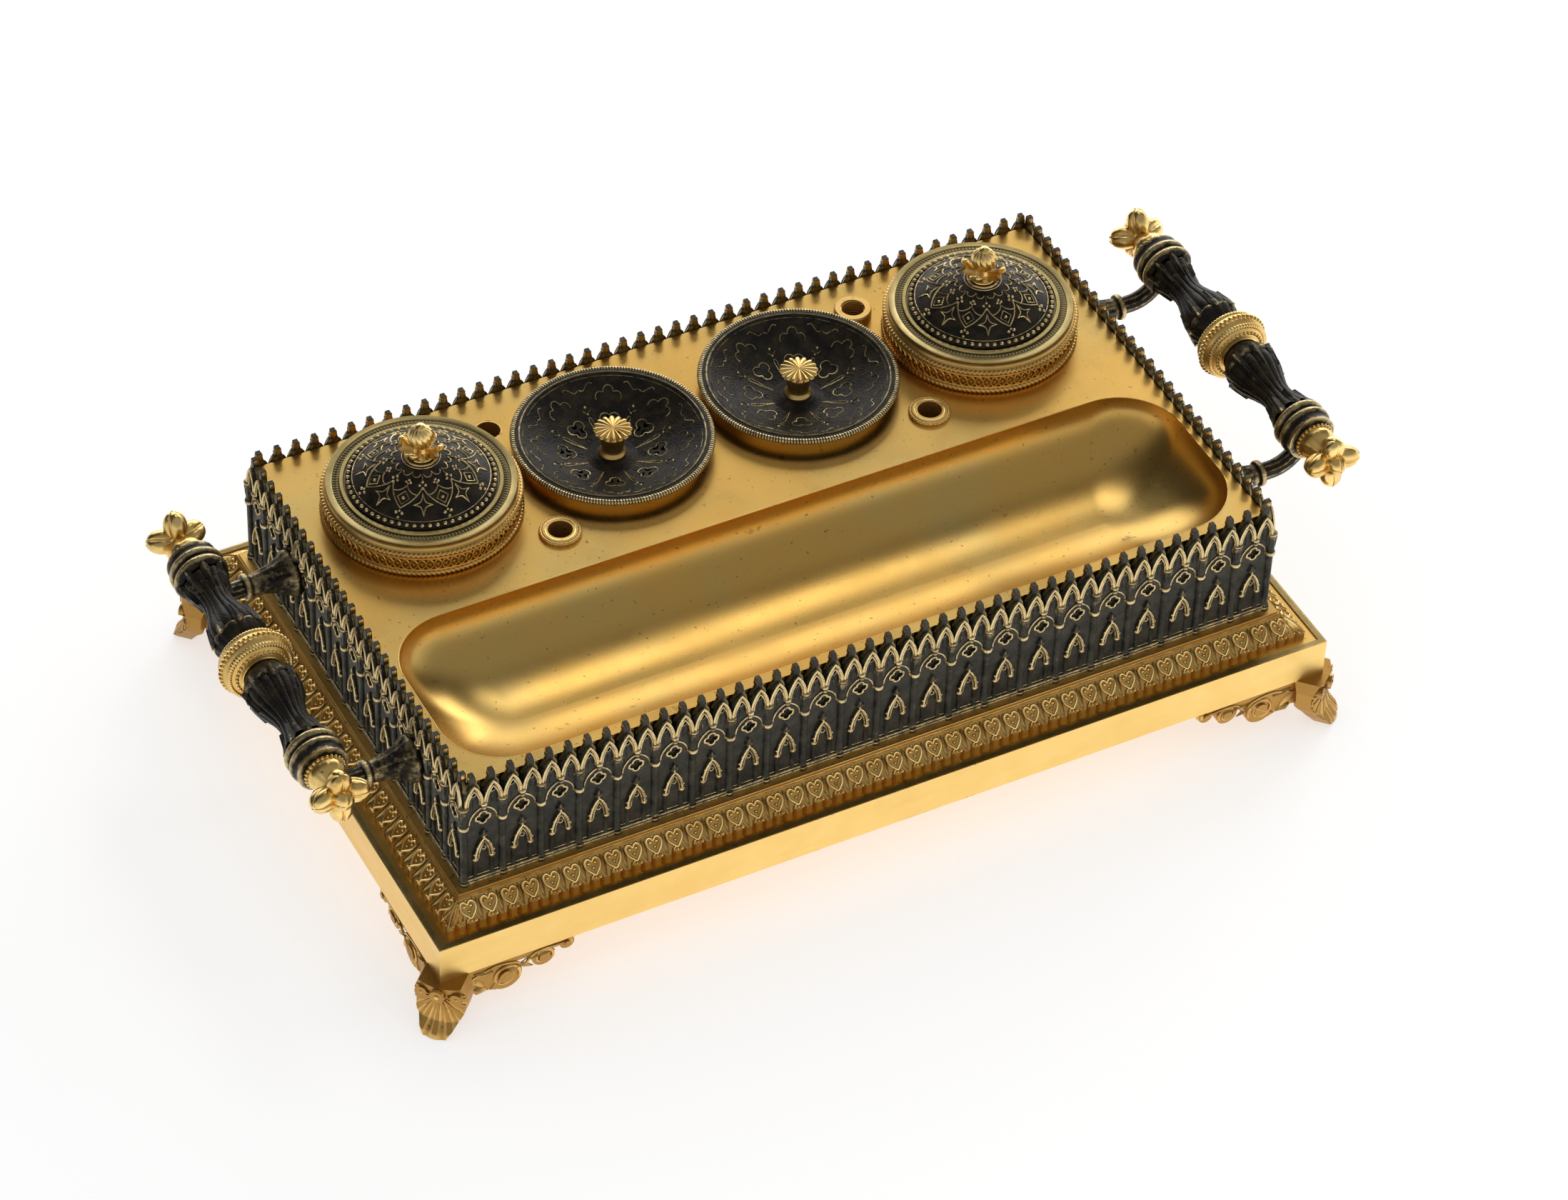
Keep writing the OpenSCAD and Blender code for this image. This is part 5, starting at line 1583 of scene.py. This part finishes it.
@dataclass
class Handle:
    """One handle: its beaded ring, two leafy bars, their bud finials and two arms.

    Attributes:
        side: The side that it is on.
        layout: The shared places.
        beads: How many beads lie round its ring.
        arm_y: How far an arm stands from the middle.
        arm_radius: The radius of an arm.
        bar_end: Where a bar ends and its finial starts.
        bend: The radius of an arm's bend.
        lean: How far the finial's outer buds lean.
    """

    side: str
    layout: Layout
    beads: int = 44
    arm_y: float = 48.0
    arm_radius: float = 3.0
    bar_end: float = 53.5
    bend: float = 12.0
    lean: float = math.radians(64)

    @property
    def sign(self) -> int:
        """Which way the handle lies along X."""
        return 1 if self.side == "right" else -1

    def on_bar(self, end: int, start: float = 0.0) -> Array:
        """Carries a piece drawn round Z onto the bar, Z pointing to an end."""
        turn = np.array([[1.0, 0, 0], [0, 0, end], [0, -end, 0]])
        return placed(turn, (self.sign * self.layout.bar_x, 0, self.layout.bar_z)) @ moved(z=start)

    def make_ring(self) -> None:
        """The beaded ring in the middle of the bar."""
        piece = Casting()
        half = [(12.1, 1.5), (11.6, 2.3), (10.4, 3.9), (9.4, 4.4), (8.6, 5.0), (7.4, 5.5), (6.2, 5.78),
                (3.0, 5.8)]
        piece.revolve([(r, -z) for r, z in half[::-1]] + [(12.3, 0.0)] + half, 96, wear=0.25)
        for s in (-1, 1):
            piece.rope(10.75, s * 3.3, 0.95, 64, 1.5 * s, 0.14)
            piece.beads(ring_places(34, 8.75, s * 5.05, 0.05), (0.68, 0.62, 0.62))
            piece.hoop(6.9, s * 5.6, 0.4, 48, 6, 0.9)
        piece.beads(ring_places(self.beads, 12.2), (0.95, 0.88, 1.25), 6, 12)
        piece.build(f"handle_ring_beaded_{self.side}", Finish.GILT, self.on_bar(1), STAND,
                    (f"handle_ring_{self.side}",))

    @classmethod
    def bar(cls) -> Casting:
        """Half a bar: a leafy bulb, a fluted waist and a double collar."""
        piece = Casting()
        bulb = [(2.5, 5.8), (6.5, 5.82), (6.6, 6.6), (7.2, 7.6), (7.9, 9.0), (8.5, 10.6), (8.9, 12.0),
                (8.9, 13.0), (8.4, 13.7)]
        waist = [(8.3, 13.6), (8.45, 15.0), (8.2, 17.5), (7.4, 20.6), (6.2, 24.0), (5.2, 27.5), (4.85, 30.5),
                 (5.2, 33.6), (5.9, 36.8), (6.9, 39.4), (7.4, 41.0)]
        collar = [(7.2, 42.6), (8.6, 43.2), (9.45, 44.0), (9.6, 44.8), (9.2, 45.7), (8.4, 46.3), (8.35, 47.0),
                  (9.2, 47.5), (9.6, 48.3), (9.5, 49.2), (8.7, 50.0), (8.5, 51.0), (8.75, 52.2), (8.7, 53.2),
                  (7.0, 53.52), (2.5, 53.5)]
        piece.revolve(bulb, 96, HERE, ripple(16, 0.7), [0, 0.1, 0.15, 0.2, 0.3, 0.4, 0.5, 0.6, 0.3],
                      [0, 0.2, 0.1, 0.2, 0.25, 0.35, 0.5, 0.7, 0.4])
        piece.revolve(waist, 128, HERE, ripple(16, 0.55),
                      [0.35, 0.6, 0.7, 0.7, 0.6, 0.5, 0.45, 0.5, 0.6, 0.6, 0.4],
                      [0.1, 0.25, 0.35, 0.4, 0.38, 0.35, 0.35, 0.4, 0.45, 0.45, 0.2])
        piece.revolve(collar, 64, wear=[0.2, 0.4, 0.8, 1, 0.8, 0.3, 0.2, 0.7, 1, 0.8, 0.4, 0.3, 0.6, 0.9, 0.5,
                                        0.2])
        for place in ring_places(8):
            piece.copies(cls.leaf_tip(8.9, 9.85, 12.2, -5.5, 2.9), [place])
            piece.copies(cls.leaf_tip(6.9, 8.5, 42.2, 5.5, 2.6), [place])
        return piece

    @staticmethod
    def leaf_tip(r0: float, r1: float, z1: float, reach: float, width: float) -> Casting:
        """A leaf that lies on the bar and curls up at its tip.

        Args:
            r0: The distance of its root from the bar's axis.
            r1: The distance of its tip.
            z1: Where its tip is along the bar.
            reach: How far it runs along the bar, negative where it points to the ring.
            width: Its width.

        Returns:
            The leaf, on the +X side of the bar.
        """
        leaf = Casting()
        spine = smooth([(r0 - 0.9, z1 - reach * 1.6), (r0 - 0.2, z1 - reach), (r0 + 0.45, z1 - reach * 0.45),
                        (r1 - 0.15, z1), (r1 + 0.05, z1 + reach * 0.12), (r1 - 0.8, z1 + reach * 0.16)], 3)
        t = np.linspace(0, 1, len(spine))[:, None]
        half = 0.35 + 0.75 * np.sin(np.pi * np.clip(t, 0, 0.93) ** 0.9)
        half = 0.5 * width * half * (1 + 0.1 * np.cos(14 * t))
        across = np.linspace(-1, 1, 7)
        lift = 0.55 * np.exp(-(across / 0.35) ** 2) - 0.5 * across ** 2
        points = np.stack(np.broadcast_arrays(spine[:, :1] + lift, half * across, spine[:, 1:]), -1)
        worn = (0.25 + 0.75 * t) * (0.45 + 0.6 * np.exp(-(across / 0.5) ** 2))
        leaf.sheet(points[:, ::1 if reach > 0 else -1], worn)
        return leaf

    @staticmethod
    def bud(length: float, radius: float) -> Casting:
        """A bud of folded petals that stands on the origin."""
        piece, size = Casting(), np.array([radius, length])
        shape = size * [(0.5, 0.0), (0.68, 0.08), (0.9, 0.2), (1.04, 0.36), (1.05, 0.53), (0.96, 0.69),
                        (0.8, 0.83), (0.55, 0.94), (0.25, 0.995), (0.01, 1.0)]
        piece.revolve(shape, 36, HERE, lambda t: ripple(3, 0.55)(t) - 0.55,
                      np.array([0, 0.1, 0.25, 0.36, 0.4, 0.4, 0.34, 0.2, 0.06, 0]) * radius,
                      [0.3, 0.4, 0.6, 0.8, 0.9, 0.9, 1, 1, 1, 1])
        for k in range(3):
            spine = polar(0.86 * shape[1:-1, 0], TAU * (k + 0.5) / 3, shape[1:-1, 1])
            piece.tube(spine, 0.09 * radius, unit(spine * [1, 1, 0]), 5, wear=0.5)
        return piece

    def make_finial(self, end: int, word: str) -> None:
        """The finial of five buds at one end of the bar."""
        piece = Casting()
        stem = [(2.6, 0.02), (6.4, 0.02), (6.6, 0.4), (6.3, 1.9), (6.4, 2.6), (6.2, 3.8), (5.4, 5.4),
                (4.4, 6.8), (3.6, 8.0), (3.5, 8.8), (4.1, 9.4), (4.2, 10.0), (3.6, 10.8), (2.6, 11.4),
                (0.01, 11.6)]
        piece.revolve(stem, 48, HERE, ripple(12, 0.8), [0, 0, 0, 0, 0.1, 0.25, 0.3, 0.25, 0.1] + [0] * 6,
                      [0.3, 0.5, 0.4, 0.5, 0.8, 0.8, 0.7, 0.6, 0.5, 0.6, 1, 1, 0.7, 0.5, 0.4])
        piece.beads(ring_places(26, 6.55, 1.15), (0.72, 0.72, 0.8))
        piece.copies(self.bud(8.3, 3.3), [moved(z=10.1)])
        c, s = math.cos(self.lean), math.sin(self.lean)
        lean = placed(np.array([[c, 0, s], [0, 1, 0], [-s, 0, c]]))
        piece.copies(self.bud(10.0, 3.5), [place @ lean for place in ring_places(4, 0.9, 9.9)])
        piece.build(f"handle_buds_{word}_{self.side}", Finish.GILT, self.on_bar(end, self.bar_end), STAND,
                    (f"handle_finial_{word}_{self.side}",))

    def make_arm(self, end: int, word: str) -> None:
        """The bent and fluted arm with its leafy boss on the gallery."""
        piece, name = Casting(), f"handle_arm_{word}_{self.side}"
        x, drop = self.layout.bar_x, self.layout.bar_z - 14.0
        wall = Side.RIGHT.reach(corners_of(name), False) + 6.6
        quarter = arc((x - self.bend, drop + self.bend), self.bend, -90, 0, 12)
        path = np.concatenate([[(wall + 15.0, drop)], quarter, [(x, self.layout.bar_z - 1)]])
        spine = np.insert(path, 1, 0, 1)
        sides = 30
        ring = (TAU * np.arange(sides) / sides)[:, None]
        flute = ripple(10)(ring)
        across = np.array([0, 1.0, 0])
        up = np.cross(unit(np.gradient(spine, axis=0)), across)[:, None]
        round_it = np.cos(ring) * across + np.sin(ring) * up
        points = spine[:, None] + self.arm_radius * (1 + 0.09 * (flute - 0.5)) * round_it
        piece.add(points, grid_faces(len(path), sides, False, True)[:, ::-1],
                  wear=np.tile(flute[:, 0] * 0.75, len(path)))
        boss = [(1.6, -7.0), (1.6, -0.9), (8.0, -0.95), (8.1, 0.0), (7.8, 0.9), (6.8, 1.9), (5.8, 3.2),
                (5.0, 5.0), (4.4, 7.2), (4.0, 9.5), (3.7, 12.0), (3.5, 14.0), (3.6, 15.0), (4.5, 15.4),
                (4.75, 16.2), (4.5, 17.0), (3.2, 17.5), (2.5, 17.6)]
        by = [0, 0, 0, 0.2, 0.5, 0.8, 0.8, 0.7, 0.6, 0.5, 0.4, 0.25] + [0] * 6
        wear = [0, 0, 0.2, 0.5, 0.7, 0.6, 0.55, 0.5, 0.5, 0.55, 0.6, 0.7, 0.3, 0.8, 1, 0.8, 0.3, 0]
        piece.revolve(boss, 64, placed(ALONG_X, (wall, 0, drop)), ripple(12, 0.6), by, wear)
        place = np.diag([self.sign, end, 1.0, 1.0])
        place[1, 3] = end * self.arm_y
        piece.build(f"handle_arm_fluted_{word}_{self.side}", Finish.DARK, place, STAND, (name,))

    def build(self) -> None:
        """Builds the whole handle."""
        self.make_ring()
        for end, word in ((-1, "front"), (1, "back")):
            self.bar().build(f"handle_bar_leafy_{word}_{self.side}", Finish.DARK, self.on_bar(end), STAND,
                             (f"handle_bar_{word}_{self.side}",))
            self.make_finial(end, word)
            self.make_arm(end, word)


# ---------------------------------------------------------------- the feet


@dataclass
class Foot:
    """A foot: a ribbed shell at the corner between two scrolled brackets.

    Attributes:
        word: Whether it is at the front or at the back.
        side: The side that it is on.
        layout: The shared places.
        height: Its height.
        ribs: How many ribs the shell has.
        inner: How far from the shell's centre the ribs start.
        spread: How far behind the corner the shell's axis lies.
        half: Half the shell's width at each height.
        out: How far the shell stands out at each height.
    """

    word: str
    side: str
    layout: Layout
    height: float = 20.0
    ribs: int = 18
    inner: float = 2.6
    spread: float = 14.0
    half: tuple[tuple[float, float], ...] = (
        (0.0, 3.42), (1.2, 4.14), (4.0, 5.94), (8.4, 8.1), (12.4, 9.0), (16.0, 8.73), (20.0, 7.2))
    out: tuple[tuple[float, float], ...] = (
        (0.0, 5.7), (0.4, 6.1), (1.0, 6.2), (2.4, 5.6), (6.0, 2.8), (10.0, 1.6), (14.4, 1.6), (20.0, 2.4))

    def shell(self) -> Casting:
        """The shell, drawn with its outward side along +X."""
        piece = Casting()
        centre = self.height * 0.84
        psi = np.radians(np.linspace(-94, 94, 145))[:, None]
        steps = np.linspace(1, 18, 341)
        y, z = steps * np.sin(psi), centre - steps * np.cos(psi)
        inside = (np.abs(y) <= np.interp(z, *np.array(self.half).T)) & (z >= 0.35) & (z <= self.height - 0.4)
        reach = np.max(np.where(inside, steps, 1.0), 1, keepdims=True)
        rho = self.inner + (reach - self.inner) * np.linspace(0, 1, 26)
        ridge = ripple(self.ribs)(psi)
        y, z = rho * np.sin(psi), centre - rho * np.cos(psi)
        rise = np.clip((rho - self.inner) / 5, 0, 1)
        far = self.spread + np.interp(z, *np.array(self.out).T)
        swing = np.arcsin(np.clip(y / far, -0.95, 0.95))
        x = (far + 0.05 + 0.54 * ridge ** 0.8 * rise) * np.cos(swing) - self.spread
        piece.sheet(np.stack([x, y, z], -1), 0.7 * ridge * rise)
        return piece

    @staticmethod
    def spiral(radius: float, turns: float, start: float, hand: int) -> Array:
        """A volute in a plane, from its outside to its eye."""
        t = np.linspace(0, 1, int(22 * turns))
        return polar(radius * (1 - 0.86 * t), start + hand * TAU * turns * t, 0)[:, :2]

    def rosette(self) -> Casting:
        """The rosette and the two volutes at the head of the shell."""
        piece = Casting()
        rose = [(2.3, -1.5), (2.5, 0.1), (2.3, 0.55), (1.3, 0.45), (0.95, 0.5), (0.8, 1.0), (0.01, 1.15)]
        piece.revolve(rose, 40, placed(ALONG_X, (2.9, 0, self.height * 0.84)), ripple(8, 0.6),
                      [0, 0.25, 0.3, 0.1, 0, 0, 0], [0.4, 0.8, 1, 0.5, 0.4, 1, 1])
        for s in (-1, 1):
            eye = np.array([s * 6.0, self.height * 0.8])
            path = np.insert(self.spiral(2.15, 1.6, math.pi / 2, s) + eye, 0, 0.9, 1)
            path[:, 0] += np.linspace(-0.4, 0.9, len(path))
            piece.tube(path, np.linspace(0.62, 0.45, len(path)), (1, 0, 0), 8)
            piece.beads([placed(turned_to((1, 0, 0)), (1.9, *eye))], (0.6, 0.6, 0.5), 4, 10)
        return piece

    def bracket(self) -> Casting:
        """The carving on the bracket, which runs along -X and faces -Y."""
        piece, face, h = Casting(), wall_drawing(-0.8), self.height
        for x, z, r in ((-37.0, h - 5.0, 3.4), (-23.5, h - 8.2, 5.1)):
            curl = self.spiral(r, 1.9, math.radians(200), -1) + [x, z]
            face.wire(piece, curl, np.linspace(0.62, 0.34, len(curl)), 0.1, 7, wear=0.95)
            face.stud(piece, (x, z), (0.3 * r, 0.3 * r, 0.5), 0.15)
        stem = smooth([(-46.4, h - 2.5), (-42, h - 2.0), (-34, h - 2.2), (-30, h - 6), (-27, h - 3.4),
                       (-20, h - 2.2), (-12, h - 4.5), (-8, h - 8)], 4)
        face.wire(piece, stem, 0.5, 0.1, wear=0.9)
        for x0, z0, x1, z1, width in ((-18, -12.0, -30.5, -3.5, 2.6), (-16, -10.0, -9.8, -4.2, 2.8),
                                      (-17, -11.5, -12.0, -9.8, 2.4), (-27, -4.5, -33.2, -7.4, 2.0),
                                      (-30, -3.4, -41, -3.6, 2.0), (-19, -4, -12, -2.6, 1.8)):
            face.leaf(piece, (x0, h + z0), (x1, h + z1), width, 1.0, 0.05, 9, 0.9)
        piece.beads([moved(-46.4, 2.0, h - 2.7)], (2.2, 1.6, 2.2), 5, 10, 0.9)
        return piece

    def build(self) -> None:
        """Dresses the foot."""
        sx, sy = (-1 if self.side == "left" else 1), (-1 if self.word == "front" else 1)
        corner = Casting()
        diagonal = placed(about_z(-math.pi / 4))
        corner.copies(self.shell(), [diagonal])
        corner.copies(self.rosette(), [diagonal])
        swap = placed(np.array([[0, -1.0, 0], [-1, 0, 0], [0, 0, 1]]))
        corner.copies(self.bracket(), [HERE, swap])
        place = np.diag([sx, -sy, 1.0, 1.0])
        place[:2, 3] = np.multiply((sx, sy), self.layout.plinth_half)
        # Gilded in the darker colours that paint the shade round the feet.
        corner.build(f"foot_carving_{self.word}_{self.side}", Finish.GILT_FOOT_SHADED, place)


# ---------------------------------------------------------------- the studio


@dataclass(frozen=True)
class Studio:
    """The camera, the lamps and the pale floor.

    Attributes:
        lens: The focal length in millimetres.
        sensor: The width of the sensor in millimetres.
        place: The camera's place in millimetres.
        yaw: The camera's turn about Z in degrees.
        pitch: How far it looks down.
        roll: How far it leans.
        aim: The point that the lamps face, in metres.
        lamps: The name, place, size and power of each lamp.
        softbox: The direction of the bright spot in the room.
        glow: The strength of that spot.
        paper: The strength of the paper behind the stand.
        room: The strength of the room beside it.
        top: The strength overhead.
        front: The strength in front, high up.
        shade: The strength in front, near the floor.
        ambient: The strength that matt surfaces see.
        floor_half: Half the floor's width in metres.
        floor_seen: How much the floor glows in the picture.
        floor_mirrored: How much it glows in reflections, on the right and on the left.
        floor_grey: The floor's colour.
        white: The colour of the light.
    """

    lens: float = 129.78
    sensor: float = 36.0
    place: tuple[float, float, float] = (-665.92, -1221.4, 1354.94)
    yaw: float = 28.98
    pitch: float = 43.49
    roll: float = 2.41
    aim: tuple[float, float, float] = (0, 0, 0.06)
    lamps: tuple = (("back", (0.44, 0.56, 1.38), (0.5, 0.3), 1.1), ("key", (1.2, 0.9, 0.9), (0.6, 0.6), 3))
    softbox: tuple[float, float, float] = (0.289, 0.37, 0.883)
    glow: float = 0.5
    paper: float = 2.1
    room: float = 0.04
    top: float = 0.05
    front: float = 0.3
    shade: float = 1.0
    ambient: float = 0.5
    floor_half: float = 4.0
    floor_seen: float = 0.56
    floor_mirrored: tuple[float, float] = (0.8, 0.22)
    floor_grey: Colour = rgb(0.8, 0.8, 0.8)
    white: Colour = rgb(1.0, 1.0, 1.0)

    @staticmethod
    def link(name: str, data: bpy.types.ID) -> bpy.types.Object:
        """Puts a thing in the scene."""
        made = bpy.data.objects.new(name, data)
        bpy.context.scene.collection.objects.link(made)
        return made

    def camera(self) -> None:
        """Sets the camera at its place and angle."""
        yaw, pitch, roll = (math.radians(a) for a in (self.yaw, self.pitch, self.roll))
        ahead = Vector((math.sin(yaw) * math.cos(pitch), math.cos(yaw) * math.cos(pitch), -math.sin(pitch)))
        right = Vector((math.cos(yaw), -math.sin(yaw), 0))
        up = right.cross(ahead)
        leant = math.cos(roll) * right + math.sin(roll) * up
        upright = -math.sin(roll) * right + math.cos(roll) * up
        data = bpy.data.cameras.new("camera")
        data.lens, data.sensor_width, data.sensor_fit = self.lens, self.sensor, "HORIZONTAL"
        data.clip_start, data.clip_end = 0.05, 20
        made = self.link("camera", data)
        turn = Matrix((leant, upright, -ahead)).transposed()
        made.matrix_world = Matrix.Translation(Vector(self.place) * MM) @ turn.to_4x4()
        bpy.context.scene.camera = made

    def lamp(self, name: str, place: Sequence[float], size: Sequence[float], watts: float) -> None:
        """Hangs a soft panel lamp that faces the middle of the stand.

        Args:
            name: Its name.
            place: Where it hangs, in metres.
            size: Its width and height.
            watts: Its power.
        """
        data = bpy.data.lights.new(name, "AREA")
        data.shape = "RECTANGLE"
        data.size, data.size_y = size
        data.energy = watts
        made = self.link(name, data)
        made.location = place
        made.rotation_euler = (Vector(self.aim) - Vector(place)).to_track_quat("-Z", "Y").to_euler()

    def world(self) -> None:
        """White paper that rises behind the stand, under a dim room."""
        world = bpy.data.worlds.new("surroundings")
        bpy.context.scene.world = world
        world.use_nodes = True
        g = Graph(world.node_tree, "Generated")
        way = g.parts(g.place)
        over = g.math("SUBTRACT", way["Z"], g.math("MULTIPLY", way["Y"], 0.97))
        dim = g.span(way["Z"], 0.78, 0.92, self.room, self.top)
        lit = g.span(way["X"], -0.35, -0.05, self.room, self.paper)
        paper = g.blend(g.span(over, -0.07, -0.02), lit, dim)
        shade = g.span(way["Z"], 0.5, 0.05, self.front, self.shade)
        around = g.blend(g.span(way["Y"], -0.1, 0.15), shade, paper)
        near = g.put(g.new("VectorMath", operation="DOT_PRODUCT"), {0: g.place, 1: self.softbox})
        glow = g.span(near.outputs["Value"], 0.965, 0.998, 0.0, self.glow, "SMOOTHSTEP")
        level = g.blend(g.mirrored(), self.ambient, g.math("ADD", around, glow))
        strength = g.blend(g.straight(), level, 1.0)
        g.put(g.tree.nodes["Background"], {"Color": self.white, "Strength": strength})

    def floor(self) -> None:
        """The pale floor, which keeps the stand's shadow."""
        mesh = bpy.data.meshes.new("floor")
        s = self.floor_half
        mesh.from_pydata([(-s, -s, 0), (s, -s, 0), (s, s, 0), (-s, s, 0)], [], [(0, 1, 2, 3)])
        g = Paint("floor_white")
        at = g.parts(g.place)
        left = g.math("SUBTRACT", g.math("MULTIPLY", at["Y"], 0.5), at["X"])
        mirrored = g.math("MULTIPLY", g.mirrored(), g.span(left, 0.05, 0.5, *self.floor_mirrored))
        glow = g.math("ADD", mirrored, g.math("MULTIPLY", g.straight(), self.floor_seen))
        mesh.materials.append(g.surface(self.floor_grey, 0.9, 0.0, light=self.white, glow=glow))
        self.link("floor", mesh)

    def build(self) -> None:
        """Sets up the whole studio."""
        bpy.context.scene.view_settings.view_transform = "Standard"
        self.camera()
        self.world()
        self.floor()
        for lamp in self.lamps:
            self.lamp(*lamp)


# ---------------------------------------------------------------- the solids that show as they are


SOLID_FINISHES: dict[Finish, Solids] = {
    Finish.GILT_BAND: ("plinth_band",),
    Finish.SATIN: ("top_plate", "deck_plate", "corner_posts", "pounce_pot", "wafer_pot", "pounce_collar",
                   "wafer_collar"),
    Finish.GILT_FOOT_SHADED: ("foot_",),
    Finish.GILT: ("frieze_", "gallery_seat", "collar", "quill_", "handle_ring", "handle_finial", "knob",
                  "ink_lid_finial"),
    Finish.DRUM: ("ink_lid_drum",),
    Finish.PATINA: ("gallery_",),
    Finish.DARK: ("ink_lid_medallion", "dish", "handle_bar", "handle_arm"),
    Finish.STEEL: ("deck_screws", "handle_rod", "nut"),
    Finish.GLASS: ("ink_pot",),
}


def dress_solids(nodes: dict[str, bpy.types.Object]) -> None:
    """Gives each solid the first finish whose words are in its name.

    Args:
        nodes: The solids by name.
    """
    for name, solid in nodes.items():
        finish = next(f for f, words in SOLID_FINISHES.items() if any(w in name for w in words))
        solid.data.materials.clear()
        solid.data.materials.append(Foundry.material(finish))


def main() -> None:
    """Builds the whole stand and its studio."""
    logging.basicConfig(level=logging.INFO, format="%(name)s %(message)s")
    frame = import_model()
    layout = Layout.read()
    Studio().build()
    dress_solids(frame["nodes"])
    Plinth(layout).build()
    Frieze().build()
    Gallery(layout).build()
    TopPlate(layout).build()
    for side in ("left", "right"):
        InkLid(side, f"ink_lid_drum_{side}", f"ink_lid_{side}").build()
        Handle(side, layout).build()
        for word in ("front", "back"):
            Foot(word, side, layout).build()
    for word in ("pounce", "wafer"):
        Dish(word, f"{word}_dish", f"{word}_lid").build()


if __name__ == "__main__":
    main()
